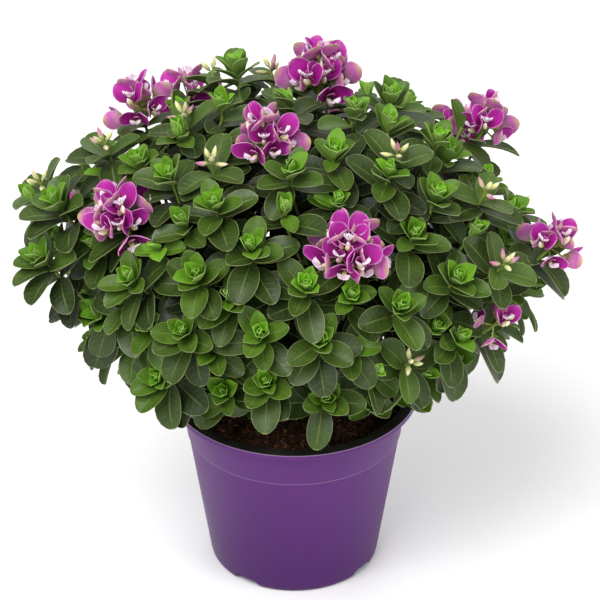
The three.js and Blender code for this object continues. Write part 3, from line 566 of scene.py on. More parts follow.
# %% Fill the pot
COMPOST_LEVEL = 118
COMPOST_MOUND = 4
COMPOST_ROUGHNESS = 1.3
COMPOST_SPIN_STEPS = 96
COMPOST_CREASE = 60
GAP = 0.3
TOP_RINGS = 26
TOP_MARGIN = 0.5
FOOT_RINGS = (25.0, 54.0)
SIDE_LEVELS = (40.0, 80.0)
LUMPS_FADE = 6


def compost_inner(z):
    return wall_radius(z) - WALL - GAP


def unevenness(x, y):
    return math.sin(x * 0.21 + y * 0.13) * math.cos(y * 0.24 - x * 0.08)


compost_edge = compost_inner(COMPOST_LEVEL)
foot = WALL + GAP
side_line = [(radius, foot) for radius in (0.0, *FOOT_RINGS)] + [(compost_inner(7.0) - 1.0, 7.0)]
side_line += [(compost_inner(z), z) for z in (*SIDE_LEVELS, COMPOST_LEVEL)]
outwards = [1 - i / TOP_RINGS for i in range(1, TOP_RINGS + 1)]
top_line = [(compost_edge * share, COMPOST_LEVEL + COMPOST_MOUND * (1 - share**2)) for share in outwards]
compost = spin_profile("compost_fine", side_line + top_line, COMPOST_SPIN_STEPS)
for bearing in CHANNEL_BEARINGS:
    combine(compost, channel_prism(bearing, WALL + GAP, WALL_FOOT_RADIUS + OVERSHOOT), "DIFFERENCE")

COARSE, FINE = 0.16, 0.55


def crumble(x, y):
    """Small lumps in two sizes, from waves whose numbers keep them out of step with each other."""
    coarse = math.sin(x * COARSE * 2.3 + 1.7 * math.sin(y * COARSE))
    coarse *= math.sin(y * COARSE * 2.1 + 1.3 * math.sin(x * 0.3))
    fine = math.sin(x * FINE + 2.1 * math.sin(y * 0.9)) * math.cos(y * FINE * 1.3 + 1.9 * math.sin(x * 0.7))
    return 0.8 * coarse + 0.55 * fine


def lumps(x, y):
    fade = min((compost_edge - math.hypot(x, y)) / LUMPS_FADE, 1)
    return COMPOST_ROUGHNESS * unevenness(x, y) + fade * crumble(x, y)


def compost_height(x, y):
    return COMPOST_LEVEL + COMPOST_MOUND * (1 - (x * x + y * y) / compost_edge**2) + lumps(x, y)


for vertex in compost.data.vertices:
    x, y, z = vertex.co / MM
    if z > COMPOST_LEVEL - TOP_MARGIN and math.hypot(x, y) < compost_edge - TOP_MARGIN:
        vertex.co.z += lumps(x, y) * MM
print("faces of the compost:", len(compost.data.polygons))

# %% [markdown]
# Peat is nearly black where it is moist and brown where it has dried, so one noise mixes the two by clods
# and a finer one adds rust-brown specks. Both also raise the surface, because a crumbly surface shows by
# its shadows.

# %% Dress the compost
peat, wire = start_material("peat", Specular_IOR_Level=0.2)
clods = grain(wire, 330, 6.0, 0.65)
specks = grain(wire, 1100, 3.0, 0.6)
soil = clods.ramp(0.38, 0.66).blend(paint(34, 25, 19), paint(96, 68, 50))
soil = specks.ramp(0.58, 0.68).blend(soil, paint(138, 96, 68))
finish_material(peat, soil, specks.spread(0.85, 1.0), clods + specks * 0.5, 0.8, 0.0012)
compost.data.materials.append(peat)
smooth(compost, COMPOST_CREASE)
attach(compost, "root")
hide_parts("compost")
print("compost, in mm:", [round(side / MM) for side in compost.dimensions])

# %% [markdown]
# ## How the plant grows
#
# Nobody could place a thousand leaves by hand, and a plant doesn't either: it follows a few rules. The
# shoot tips stand on a rounded crown, each grows outwards and up to the light, and its leaves come in
# threes, each three turned against the last. The solids were grown by such rules, so the same rules with
# the same numbers grow the finer pieces in the same places. First come the small tools: directions,
# repeatable draws and a smooth stem.

# %% Directions and draws
UP = np.array([0.0, 0.0, 1.0])
GOLDEN_DEGREES = 137.508
GOLDEN_ANGLE = math.radians(GOLDEN_DEGREES)
DRAW_FACTOR = 48271
DRAW_LIMIT = 2**31 - 1


def unit(vector):
    return vector / math.sqrt(vector.dot(vector))


def mix(start, end, share):
    return start * (1 - share) + end * share


def draws_from(seed):
    """A repeatable row of draws between 0 and 1."""
    state = seed
    while True:
        state = (state * DRAW_FACTOR) % DRAW_LIMIT
        yield state / DRAW_LIMIT


# %% A smooth stem
CURVE_PULL = 0.36
TANGENT_STEP = 0.0001
LENGTH_STEPS = 200
UPRIGHT_LIMIT = 0.2  # a shoot that leans less than this has its sideways direction along X


class Branch:
    """A stem from a start to its shoot's end, on a cubic curve."""

    def __init__(self, start, leave, shoot, foot_radius):
        span = math.dist(start, shoot["tip"])
        pull = span * CURVE_PULL
        self.knots = [start, start + leave * pull, shoot["tip"] - shoot["growth"] * pull, shoot["tip"]]
        growth = shoot["growth"]
        leans = math.hypot(growth[0], growth[1]) > UPRIGHT_LIMIT
        self.side = unit(np.array([growth[1], -growth[0], 0.0])) if leans else np.array([1.0, 0.0, 0.0])
        self.foot_radius = foot_radius
        spots = self.spot(np.arange(LENGTH_STEPS + 1) / LENGTH_STEPS)
        self.length = float(np.linalg.norm(np.diff(spots, axis=0), axis=1).sum())

    def spot(self, t):
        """The curve's point at a share of its way, or its points at several."""
        t = np.asarray(t, dtype=float)[..., None]
        a, b, c, d = self.knots
        return a * (1 - t) ** 3 + b * 3 * t * (1 - t) ** 2 + c * 3 * t * t * (1 - t) + d * t**3

    def along(self, t):
        ends = np.clip([t - TANGENT_STEP, t + TANGENT_STEP], 0, 1)
        return unit(self.spot(ends[1]) - self.spot(ends[0]))

    def frame(self, t):
        """The place at t, the way on, and two directions across it."""
        along = self.along(t)
        across = unit(self.side - along * self.side.dot(along))
        return self.spot(t), along, across, np.cross(along, across)


# %% [markdown]
# ### Where the shoots stand
#
# The heads, the sprays of buds and the rosettes that the picture shows are listed by where they appear in
# it, and a ray from the eye finds each one's point on the crown. Sprigs are plain shoots that stand a
# little deeper, in the gaps. The far side has heads at chosen bearings, and rosettes and sprigs in
# golden-angle spirals, as seeds stand in a sunflower, which never line up in rows.

# %% The crown and the eye's rays
CROWN_MIDDLE = np.array([0.0, 0.0, 242.0])
CROWN_RADII = np.array([152.0, 126.0, 117.0])
OUTWARD = 0.62
UPWARD = 0.72


def seen_at(u, v, out):
    """The point of the crown seen at a place in the picture; beside the crown, the point nearest to it."""
    ray = forward * EYE_DISTANCE + rise * (PICTURE_SIDE / 2 - v) * MM_PER_PIXEL
    ray[0] += (u - PICTURE_SIDE / 2) * MM_PER_PIXEL
    radii = CROWN_RADII * out
    start = (eye - CROWN_MIDDLE) / radii
    way = ray / radii
    a, b, c = way.dot(way), start.dot(way), start.dot(start) - 1
    near = (-b - math.sqrt(max(b * b - a * c, 0))) / a
    return eye + ray * near


def stands_at(bearing, height, out):
    """The point of the crown at a bearing in degrees, 0 in front and turning right, and a height."""
    share = math.sqrt(max(1 - ((height - CROWN_MIDDLE[2]) / CROWN_RADII[2]) ** 2, 0))
    turn = math.radians(bearing)
    reach = CROWN_RADII * share * out
    return np.array(
        [math.sin(turn) * reach[0], -math.cos(turn) * reach[1], mix(CROWN_MIDDLE[2], height, out)]
    )


def growth_at(point):
    outward = unit((point - CROWN_MIDDLE) / CROWN_RADII / CROWN_RADII)
    return unit(outward * OUTWARD + UP * UPWARD)


# %% The shoots that are listed
HEADS_SEEN = [
    {"name": "top", "u": 320, "v": 68, "out": 1.02, "flowers": 8, "size": 1.0},
    {"name": "upper", "u": 266, "v": 131, "out": 1.02, "flowers": 6, "size": 0.9},
    {"name": "front", "u": 350, "v": 247, "out": 1.04, "flowers": 8, "size": 1.0},
    {"name": "left", "u": 116, "v": 211, "out": 1.06, "flowers": 7, "size": 0.95},
    {"name": "upper_left", "u": 137, "v": 97, "out": 1.1, "flowers": 4, "size": 0.85},
    {"name": "right_top", "u": 487, "v": 117, "out": 1.1, "flowers": 5, "size": 0.85},
    {"name": "right", "u": 556, "v": 241, "out": 1.2, "flowers": 5, "size": 0.8},
    {"name": "lower_right", "u": 500, "v": 321, "out": 1.1, "flowers": 2, "size": 0.75},
]
HEADS_BEHIND = [
    {"name": "back_left", "bearing": 215, "height": 312, "out": 1.04, "flowers": 4, "size": 0.95},
    {"name": "back", "bearing": 172, "height": 260, "out": 1.04, "flowers": 4, "size": 1.0},
    {"name": "back_right", "bearing": 130, "height": 290, "out": 1.05, "flowers": 4, "size": 0.9},
    {"name": "back_low", "bearing": 238, "height": 235, "out": 1.08, "flowers": 4, "size": 0.85},
]
SPRAYS_SEEN = [
    {"name": "crest", "u": 212, "v": 70, "out": 1.02, "buds": 4},
    {"name": "pale_left", "u": 184, "v": 114, "out": 1.02, "buds": 5},
    {"name": "upper_right", "u": 398, "v": 152, "out": 1.04, "buds": 6},
    {"name": "far_left", "u": 39, "v": 182, "out": 1.2, "buds": 5},
    {"name": "side_left", "u": 103, "v": 141, "out": 1.1, "buds": 5},
    {"name": "middle_left", "u": 211, "v": 160, "out": 1.02, "buds": 5},
    {"name": "side_right", "u": 487, "v": 190, "out": 1.1, "buds": 5},
    {"name": "hanging_right", "u": 506, "v": 262, "out": 1.14, "buds": 6},
    {"name": "low_right", "u": 411, "v": 362, "out": 1.0, "buds": 5},
]
SPRAYS_BEHIND = [
    {"name": "behind_right", "bearing": 105, "height": 255, "out": 1.05, "buds": 5},
    {"name": "behind_top", "bearing": 190, "height": 338, "out": 1.02, "buds": 5},
]
ROSETTES_SEEN = [
    {"u": 237, "v": 76},
    {"u": 172, "v": 182},
    {"u": 216, "v": 210},
    {"u": 251, "v": 252},
    {"u": 199, "v": 280},
    {"u": 134, "v": 282},
    {"u": 186, "v": 335},
    {"u": 261, "v": 337},
    {"u": 163, "v": 378},
    {"u": 267, "v": 383},
    {"u": 325, "v": 400},
    {"u": 318, "v": 342},
    {"u": 306, "v": 290},
    {"u": 398, "v": 311},
    {"u": 389, "v": 105},
    {"u": 388, "v": 178},
    {"u": 461, "v": 128},
    {"u": 434, "v": 202},
    {"u": 470, "v": 236},
    {"u": 453, "v": 283},
    {"u": 45, "v": 262, "out": 1.16},
    {"u": 60, "v": 208, "out": 1.14},
    {"u": 455, "v": 340},
    {"u": 291, "v": 176},
]
SPRIGS_SEEN = [
    {"u": 141, "v": 147},
    {"u": 285, "v": 214},
    {"u": 124, "v": 304},
    {"u": 226, "v": 392},
    {"u": 348, "v": 346},
    {"u": 412, "v": 240},
    {"u": 482, "v": 219},
    {"u": 431, "v": 330},
    {"u": 480, "v": 329},
    {"u": 334, "v": 160},
    {"u": 230, "v": 300},
    {"u": 350, "v": 300},
    {"u": 292, "v": 105},
    {"u": 100, "v": 250},
]
SPRIG_OUT = 0.94
SPIRALS = [
    {"kind": "rosette", "steps": 60, "start": 180, "apart": 43, "out": 1},
    {"kind": "sprig", "steps": 140, "start": 64, "apart": 32.5, "out": 0.9},
]
SPIRAL_TOP = 357
SPIRAL_FOOT = 170
SPIRAL_FRONT = 75

# %% Set out the main shoots
HEAD_STANDS = 13  # from a stem's end to the middle of its head
SPRAY_STANDS = 6

shoots = []


def add_shoot(entry, kind, place):
    shoot = {"kind": kind, "size": 1, **entry, "growth": growth_at(place), "tip": place}
    if kind == "head":
        shoot["tip"] = place - shoot["growth"] * HEAD_STANDS * shoot["size"]
    if kind == "spray":
        shoot["tip"] = place - shoot["growth"] * SPRAY_STANDS
    shoots.append(shoot)


def place_of(entry, usual_out=1):
    """The point that an entry gives, by its place in the picture or by its bearing and height."""
    out = entry.get("out", usual_out)
    if "u" in entry:
        return seen_at(entry["u"], entry["v"], out)
    return stands_at(entry["bearing"], entry["height"], out)


for entry in HEADS_SEEN + HEADS_BEHIND:
    add_shoot(entry, "head", place_of(entry))
for entry in SPRAYS_SEEN + SPRAYS_BEHIND:
    add_shoot(entry, "spray", place_of(entry))
for entry in ROSETTES_SEEN:
    add_shoot(entry, "rosette", place_of(entry))
for entry in SPRIGS_SEEN:
    add_shoot(entry, "sprig", place_of(entry, SPRIG_OUT))
for spiral in SPIRALS:
    for step in range(spiral["steps"]):
        bearing = (step * GOLDEN_DEGREES + spiral["start"]) % 360 - 180
        height = mix(SPIRAL_TOP, SPIRAL_FOOT, (step + 0.5) / spiral["steps"])
        place = stands_at(bearing, height, spiral["out"])
        is_clear = all(math.dist(shoot["tip"], place) > spiral["apart"] for shoot in shoots)
        if is_clear and abs(bearing) > SPIRAL_FRONT:
            add_shoot({}, spiral["kind"], place)
print("main shoots:", len(shoots))

# %% [markdown]
# ### Which stem carries which shoot
#
# Sixteen stems fan out of the compost. Each shoot belongs to the stem that points most nearly at it. The
# stem runs to its nearest shoot, and the others leave it on the way, in smooth curves that start along the
# stem.

# %% Grow the main stems
STEM_RISE = 3
HOLE_DEPTH = 24
STEM_FOOT_RADIUS = 2.2
STEM_TIP_RADIUS = 1.0
BRANCH_FOOT_RADIUS = 1.3
STEM_STEPS = 6
BRANCH_STEPS = 2
FAN_DEPTH = 8
HOLE_REACH = {"low": 30, "middle": 17, "upright": 7}
FORKS = [2, 3, 4, 1]
OUT_OF_SOIL = 0.8
STEMS = {  # bearings in degrees, and how steeply a stem climbs there
    "low": {0: 28, 48: 22, 96: 24, 144: 26, 192: 24, 240: 26, 284: 24, 318: 26},
    "middle": {20: 56, 80: 52, 140: 54, 200: 56, 262: 52, 325: 54},
    "upright": {70: 80, 250: 82},
}


def heading(bearing, climb):
    turn, lift = math.radians(bearing), math.radians(climb)
    return np.array([math.sin(turn) * math.cos(lift), -math.cos(turn) * math.cos(lift), math.sin(lift)])


def nearness(stem, shoot):
    return stem["way"].dot(unit(shoot["tip"] - np.array([0.0, 0.0, COMPOST_LEVEL - FAN_DEPTH])))


stems = []
for lean, climbs in STEMS.items():
    for bearing, climb in climbs.items():
        hole = heading(bearing, 0) * HOLE_REACH[lean] + UP * (COMPOST_LEVEL + COMPOST_MOUND + STEM_RISE)
        stems.append({"hole": hole, "way": heading(bearing, climb), "shoots": []})
for shoot in shoots:
    max(stems, key=lambda stem: nearness(stem, shoot))["shoots"].append(shoot)
stems = [stem for stem in stems if stem["shoots"]]
for number, stem in enumerate(stems):
    stem["node"] = f"leafy_stem_{number + 1:02d}"
    stem["shoots"].sort(key=lambda shoot: -nearness(stem, shoot))
    first = stem["shoots"][0]
    main = Branch(stem["hole"], unit(UP * OUT_OF_SOIL + stem["way"]), first, STEM_FOOT_RADIUS)
    first["branch"] = main
    first["steps"] = STEM_STEPS
    for k, shoot in enumerate(stem["shoots"][1:]):
        t = FORKS[k % len(FORKS)] / STEM_STEPS
        start = main.spot(t)
        leaving = unit(unit(shoot["tip"] - start) + main.along(t))
        shoot["branch"] = Branch(start, leaving, shoot, BRANCH_FOOT_RADIUS)
        shoot["steps"] = BRANCH_STEPS
    for shoot in stem["shoots"]:
        shoot["stem"] = stem
print("stems:", len(stems), "longest", round(max(shoot["branch"].length for shoot in shoots)), "mm")

# %% [markdown]
# ### Flowers and buds on their shoots
#
# The flowers of a head turn away from its axis by the golden angle, each a little further than the last, so
# that the head is round. A flower is a base, the way it faces, its way up and its way sideways. They are
# set out before the leaves, because the leaves give way to them.

# %% Set out the flowers and buds
HEAD_REACH = 14
HEAD_SPREAD = (14, 104)
FIRST_TURN = 0.9
RAISED = 4
HEAD_FEET = (6, 2)
WING_LENGTH = 18
KEEL_REACH = 10
KEEL_RISE = 1
BUD_LENGTH = 9
BUD_STALK = 3
BUD_SPREAD = (14, 78)
SPRAY_FEET = (4, 2)
WING_CORNERS = [(0.5, 0.04, 0.42), (0.62, 0.5, 0.66), (0.26, 0.78, 0.46)]  # sideways, up, forward


def leaning(shoot, lean, angle):
    """The direction that leans from the shoot's own by an angle, at a turn round it."""
    growth, across = shoot["growth"], shoot["branch"].side
    out = np.cross(growth, across)
    return growth * math.cos(lean) + (across * math.cos(angle) + out * math.sin(angle)) * math.sin(lean)


def flower_at(shoot, faces, size, reach, share, foot_share):
    """A flower that faces one way from its head; share is 0 at the head's top and 1 at its lower edge."""
    growth = shoot["growth"]
    upright = unit(UP + growth - faces * (faces.dot(UP) + faces.dot(growth)))
    return {
        "base": shoot["tip"] + growth * RAISED * size * (1 - share) + faces * reach * size,
        "faces": faces,
        "upright": upright,
        "sideways": np.cross(faces, upright),
        "size": size,
        "foot": shoot["tip"] + growth * mix(*HEAD_FEET, foot_share) * size,
    }


def flowers_of(shoot):
    count = shoot["flowers"]
    flowers = []
    for k in range(count):
        share = k / (count - 1)
        faces = unit(leaning(shoot, math.radians(mix(*HEAD_SPREAD, share)), k * GOLDEN_ANGLE + FIRST_TURN))
        flowers.append(flower_at(shoot, faces, shoot["size"], HEAD_REACH, share, k / count))
    return flowers


def flower_spot(flower, side, up, ahead):
    way = flower["sideways"] * side + flower["upright"] * up + flower["faces"] * ahead
    return flower["base"] + way * WING_LENGTH * flower["size"]


def buds_of(shoot):
    buds = []
    for k in range(shoot["buds"]):
        lean = math.radians(mix(*BUD_SPREAD, k / (shoot["buds"] - 1)))
        way = leaning(shoot, lean, k * GOLDEN_ANGLE)
        foot = shoot["tip"] + shoot["growth"] * mix(*SPRAY_FEET, k / shoot["buds"])
        buds.append({"foot": foot, "way": way, "end": foot + way * (BUD_STALK + BUD_LENGTH)})
    return buds


for shoot in shoots:
    shoot["flower_list"] = flowers_of(shoot) if shoot["kind"] == "head" else []
    shoot["bud_list"] = buds_of(shoot) if shoot["kind"] == "spray" else []
print("flowers:", sum(len(shoot["flower_list"]) for shoot in shoots))

# %% [markdown]
# ### Leaves that keep clear of each other
#
# A blade is a flat outline laid on a bent spine: it leaves its stem at one angle, curls back by another and
# is a little cupped. Before a leaf is placed, points spread over it are compared with all that stands there
# already, and the leaf is lifted, lowered or made smaller until it is clear, or left out.

# %% A blade's points, and the room round it
LEAF_LENGTH = 31
LEAF_SLENDERNESS = 0.57
SIDES = 3
LEAF_SPREAD = {"length": (0.88, 1.1), "width": (0.9, 1.12), "tilt": (-10, 10), "cup": (0.1, 0.4)}
SAMPLE_STEP = 2.2
SAMPLES_ASIDE = 3  # points on each side of a blade's middle line
STRAIGHT = 1e-9
POT_CLEARANCE = 2.5
LEAF_CLEARANCE = 2.4
BLADE_CLEARANCE = 1.7
ROOTED = 0.3
ROOT_HEIGHT = 1.1
HEART_LENGTH = 9
BARE_END = 2


def blade_width(t):
    """Half the blade's width at a share of its length, as a share of the greatest half width."""
    return np.maximum(np.sin(np.pi * t**1.08), 0) ** 0.72


def spine(blade, t):
    """How far out and how far along the stem the spine is at t, in blade lengths, and its angle there."""
    lift, curl = blade["lift"], blade["curl"]
    turn = lift - curl * t
    if abs(curl) < STRAIGHT:
        return np.cos(turn) * t, np.sin(turn) * t, turn
    return (math.sin(lift) - np.sin(turn)) / curl, (np.cos(turn) - math.cos(lift)) / curl, turn


def blade_points(blade, t, q):
    """Points of a leaf or petal: t from its root to its tip, q from edge to edge."""
    reach, climb, turn = spine(blade, t)
    half = blade["width"] / 2 * blade_width(t)
    cup = blade["cup"] * q * q * half
    out = (blade["length"] * reach - np.sin(turn) * cup)[:, None] * blade["out"]
    along = (blade["length"] * climb + np.cos(turn) * cup)[:, None] * blade["along"]
    return blade["root"] + out + along + (half * q)[:, None] * blade["across"]


def blade_samples(blade):
    """Points spread over a blade, and which of them are clear of its root."""
    rows = math.ceil(blade["length"] / SAMPLE_STEP)
    t = np.repeat(np.arange(1, rows + 1) / rows, 2 * SAMPLES_ASIDE + 1)
    q = np.tile(np.arange(-SAMPLES_ASIDE, SAMPLES_ASIDE + 1) / SAMPLES_ASIDE, rows)
    return blade_points(blade, t, q), t >= ROOTED


def are_above_pot(points):
    high = points[:, 2] > POT_HEIGHT + POT_CLEARANCE
    wide = np.hypot(points[:, 0], points[:, 1]) > LIP_RADIUS + POT_CLEARANCE
    return bool(np.all(high | wide))


class Room:
    """Points already taken, held in cubes so that near ones are found quickly."""

    def __init__(self, reach):
        self.reach = reach
        self.cubes = {}

    def add(self, points, owner):
        for point in points:
            key = tuple(int(c) for c in np.floor(point / self.reach))
            self.cubes.setdefault(key, []).append((point[0], point[1], point[2], owner))

    def is_free(self, points, owner):
        limit = self.reach**2
        for x, y, z in points.tolist():
            i, j, k = (math.floor(c / self.reach) for c in (x, y, z))
            for a in (i - 1, i, i + 1):
                for b in (j - 1, j, j + 1):
                    for c in (k - 1, k, k + 1):
                        for px, py, pz, other in self.cubes.get((a, b, c), ()):
                            if other != owner and (px - x) ** 2 + (py - y) ** 2 + (pz - z) ** 2 < limit:
                                return False
        return True


# %% Points along the stems and over the petals
HOLE_FOOT = COMPOST_LEVEL - HOLE_DEPTH
WHORLS = [
    {"below": 2.5, "size": 0.74, "lift": 52, "curl": 18, "tone": 0.62},
    {"below": 10, "size": 1, "lift": 22, "curl": 34, "tone": 0.34},
]
WHORL_NUMBERS = {"rosette": (0, 1), "spray": (1,), "head": (1,), "sprig": (1,)}
WHORL_TURN = math.radians(60)
SEED_OF_TURNS = 77
LINE_STEP = 2
FACE_ROWS = 6


def line_samples(start, end):
    count = math.ceil(math.dist(start, end) / LINE_STEP)
    return [mix(start, end, i / count) for i in range(count + 1)] if count else [start]


def face_samples(a, b, c):
    points = []
    for i in range(FACE_ROWS + 1):
        start, end = mix(a, b, i / FACE_ROWS), mix(a, c, i / FACE_ROWS)
        points += [mix(start, end, j / i if i else 0) for j in range(i + 1)]
    return points


def stem_samples(shoot):
    branch = shoot["branch"]

    def place(below):
        return 1 - below / branch.length

    bare = place(shoot["whorls"][-1]["below"] + BARE_END)
    spots = [np.array([*shoot["stem"]["hole"][:2], HOLE_FOOT])] if shoot["steps"] == STEM_STEPS else []
    for i in range(shoot["steps"] + 1):
        if i == 0 or i / shoot["steps"] < bare:
            spots.append(branch.spot(i / shoot["steps"]))
    for whorl in reversed(shoot["whorls"]):
        spots.append(branch.spot(place(whorl["below"] + ROOT_HEIGHT / 2)))
        spots.append(branch.spot(place(whorl["below"] - ROOT_HEIGHT / 2)))
    if shoot["kind"] == "rosette":
        spots.append(shoot["tip"] + shoot["growth"] * HEART_LENGTH / 2)
        spots.append(shoot["tip"] + shoot["growth"] * HEART_LENGTH)
    else:
        spots.append(shoot["tip"])
    return [point for a, b in zip(spots, spots[1:]) for point in line_samples(a, b)]


def petal_samples(shoot):
    points = []
    for flower in shoot["flower_list"]:
        for hand in (1, -1):
            low, outer, high = [flower_spot(flower, side * hand, up, out) for side, up, out in WING_CORNERS]
            points += face_samples(flower["base"], low, outer) + face_samples(flower["base"], outer, high)
        keel = flower["faces"] * KEEL_REACH + flower["upright"] * KEEL_RISE
        points += line_samples(shoot["tip"], flower["base"])
        points += line_samples(flower["base"], flower["base"] + keel * flower["size"])
    for bud in shoot["bud_list"]:
        points += line_samples(shoot["tip"], bud["end"])
    return points


room = Room(LEAF_CLEARANCE)
turns = draws_from(SEED_OF_TURNS)
for owner, shoot in enumerate(shoots):
    shoot["phase"] = next(turns) * 2 * math.pi / SIDES
    numbers = WHORL_NUMBERS[shoot["kind"]]
    shoot["whorls"] = [{**WHORLS[k], "twist": shoot["phase"] + k * WHORL_TURN} for k in numbers]
    room.add(petal_samples(shoot), f"bloom {owner}")
    room.add(stem_samples(shoot), owner)
print("cubes of room in use:", len(room.cubes))

# %% Grow the leaves of the main shoots
SEED_OF_LEAVES = 20261
TRIES = [
    {"lift": 0, "size": 1},
    {"lift": 16, "size": 1},
    {"lift": -14, "size": 1},
    {"lift": 8, "size": 0.82},
]


def leaf_blade(shoot, whorl, side, draw):
    branch = shoot["branch"]
    at, along, across, out = branch.frame(1 - whorl["below"] / branch.length)
    angle = 2 * math.pi * (side + 0.5) / SIDES + whorl["twist"]
    radial = across * math.cos(angle) + out * math.sin(angle)
    length = LEAF_LENGTH * whorl["size"] * mix(*LEAF_SPREAD["length"], next(draw))
    return {
        "root": at + radial * STEM_TIP_RADIUS / 2,
        "out": radial,
        "along": along,
        "across": np.cross(along, radial),
        "length": length,
        "width": length * LEAF_SLENDERNESS * mix(*LEAF_SPREAD["width"], next(draw)),
        "lift": math.radians(whorl["lift"] + mix(*LEAF_SPREAD["tilt"], next(draw))),
        "curl": math.radians(whorl["curl"] + mix(*LEAF_SPREAD["tilt"], next(draw))),
        "cup": mix(*LEAF_SPREAD["cup"], next(draw)),
        "tone": whorl["tone"],
    }


def settle(blade, owner, number):
    """The blade bent clear of its neighbours, or None."""
    for attempt in TRIES:
        bent = {
            **blade,
            "length": blade["length"] * attempt["size"],
            "width": blade["width"] * attempt["size"],
            "lift": blade["lift"] + math.radians(attempt["lift"]),
        }
        samples, is_open = blade_samples(bent)
        if not are_above_pot(samples):
            continue
        if room.is_free(samples, owner) and blade_room.is_free(samples[is_open], number):
            room.add(samples, owner)
            blade_room.add(samples[is_open], number)
            return bent
    return None


blade_room = Room(BLADE_CLEARANCE)
leaf_draws = draws_from(SEED_OF_LEAVES)
leaf_count = 0
for owner, shoot in enumerate(shoots):
    shoot["leaves"] = []
    for whorl in shoot["whorls"]:
        for side in range(SIDES):
            leaf = settle(leaf_blade(shoot, whorl, side, leaf_draws), owner, leaf_count)
            if leaf:
                shoot["leaves"].append(leaf)
                leaf_count += 1
print("leaves that the solids have too:", leaf_count)

# %% [markdown]
# ## The leaf, modelled once
#
# A milkwort leaf is a thick, leathery ellipse on a very short stalk, with a sunk midrib. It could be cut
# from a plane with a picture of a leaf, but its thickness and pale edge would be lost. Here a small grid is
# shaped by hand into a flat leaf of the real size: each row of the grid is pulled in to the outline's
# width, the rows are moved together where the outline is round, and the middle is pushed down into a rib. A
# Solidify modifier then gives it its thickness. All leaves are copies of it that are bent along their own
# spines.


# %% Tools for modelling by hand
def pick(rule):
    """Selects those vertices of the mesh in hand whose place obeys the rule."""
    bpy.ops.mesh.select_all(action="DESELECT")
    mesh = bpy.context.object.data
    shape = bmesh.from_edit_mesh(mesh)
    for vertex in shape.verts:
        vertex.select_set(bool(rule(vertex.co)))
    shape.select_flush(True)
    bmesh.update_edit_mesh(mesh)


# %% A flat blade from a grid
ROW_REACH = 0.3  # how near a row's vertices are picked, as a share of the rows' distance
MIDDLE_REACH = 0.02


def model_blade(name, length, width, thickness, columns, rows, groove=0.0):
    """A flat leaf or petal. rows gives the outline: each row's place along it and its width, as shares."""
    steps = len(rows) - 1
    bpy.ops.object.select_all(action="DESELECT")
    bpy.ops.mesh.primitive_grid_add(x_subdivisions=columns, y_subdivisions=steps, size=1)
    blade = bpy.context.object
    blade.name = name
    bpy.ops.object.mode_set(mode="EDIT")
    near = ROW_REACH / steps
    for row, (_, share) in enumerate(rows):
        level = row / steps - 0.5
        pick(lambda co: abs(co.y - level) < near)
        bpy.ops.transform.resize(value=(share, 1, 1), center_override=(0, level, 0))
    moves = [(row, at - row / steps) for row, (at, _) in enumerate(rows)]
    forwards = [move for move in reversed(moves) if move[1] > 0]
    backwards = [move for move in moves if move[1] < 0]
    for row, shift in forwards + backwards:
        level = row / steps - 0.5
        pick(lambda co: abs(co.y - level) < near / 3)
        bpy.ops.transform.translate(value=(0, shift, 0))
    if groove:
        pick(lambda co: abs(co.x) < MIDDLE_REACH)
        bpy.ops.transform.translate(value=(0, 0, -groove * MM))
    pick(lambda co: True)
    bpy.ops.transform.translate(value=(0, 0.5, 0))
    bpy.ops.transform.resize(value=(width * MM, length * MM, 1), center_override=(0, 0, 0))
    bpy.ops.object.mode_set(mode="OBJECT")
    apply_modifier(blade, "SOLIDIFY", thickness=thickness * MM, offset=0)
    return blade


# %% A shape to copy
RIM = 8.0  # where the rim's patch of the map starts
UNDERSIDE = 4.0


class Cutting:
    """A modelled shape as plain arrays in millimetres: x across, y along, z up. Copies are bent from it."""

    def __init__(self, piece, length, width):
        mesh = piece.data
        co = np.empty(len(mesh.vertices) * 3)
        mesh.vertices.foreach_get("co", co)
        self.points = co.reshape(-1, 3) / MM
        self.faces = [list(face.vertices) for face in mesh.polygons]
        self.length, self.width = length, width
        self.share = np.clip(self.points[:, 1] / length, 0, 1)
        rows = np.round(self.share, 3)
        half = {row: max(abs(self.points[rows == row, 0]).max(), 1e-6) for row in set(rows.tolist())}
        self.half = np.array([half[row] for row in rows.tolist()])
        self.side = self.points[:, 0] / self.half
        self.uv = []
        for face in mesh.polygons:
            shift = 0.0 if face.normal.z > 0.5 else UNDERSIDE if face.normal.z < -0.5 else RIM
            self.uv += [(self.side[i] + shift, self.share[i]) for i in face.vertices]
        self.uv = np.array(self.uv)
        bpy.data.objects.remove(piece)
        bpy.data.meshes.remove(mesh)


LEAF_WIDTH = LEAF_LENGTH * LEAF_SLENDERNESS
LEAF_ROWS = [
    (0, 0.13),
    (0.09, 0.4),
    (0.23, 0.74),
    (0.41, 0.96),
    (0.58, 1),
    (0.74, 0.91),
    (0.87, 0.69),
    (0.96, 0.4),
    (1, 0.14),
]
PLAIN_ROWS = [(0, 0.13), (0.18, 0.64), (0.42, 0.98), (0.66, 0.96), (0.86, 0.7), (0.96, 0.38), (1, 0.14)]
SMALL_ROWS = [(0, 0.26), (0.28, 0.84), (0.6, 1), (0.84, 0.7), (1, 0.16)]
LEAF_PLATE = 0.55
LEAF_GROOVE = 0.3
SMALL_GROOVE = 0.25


def cut_blade(name, length, width, plate, columns, rows, groove=0.0):
    return Cutting(model_blade(name, length, width, plate, columns, rows, groove), length, width)


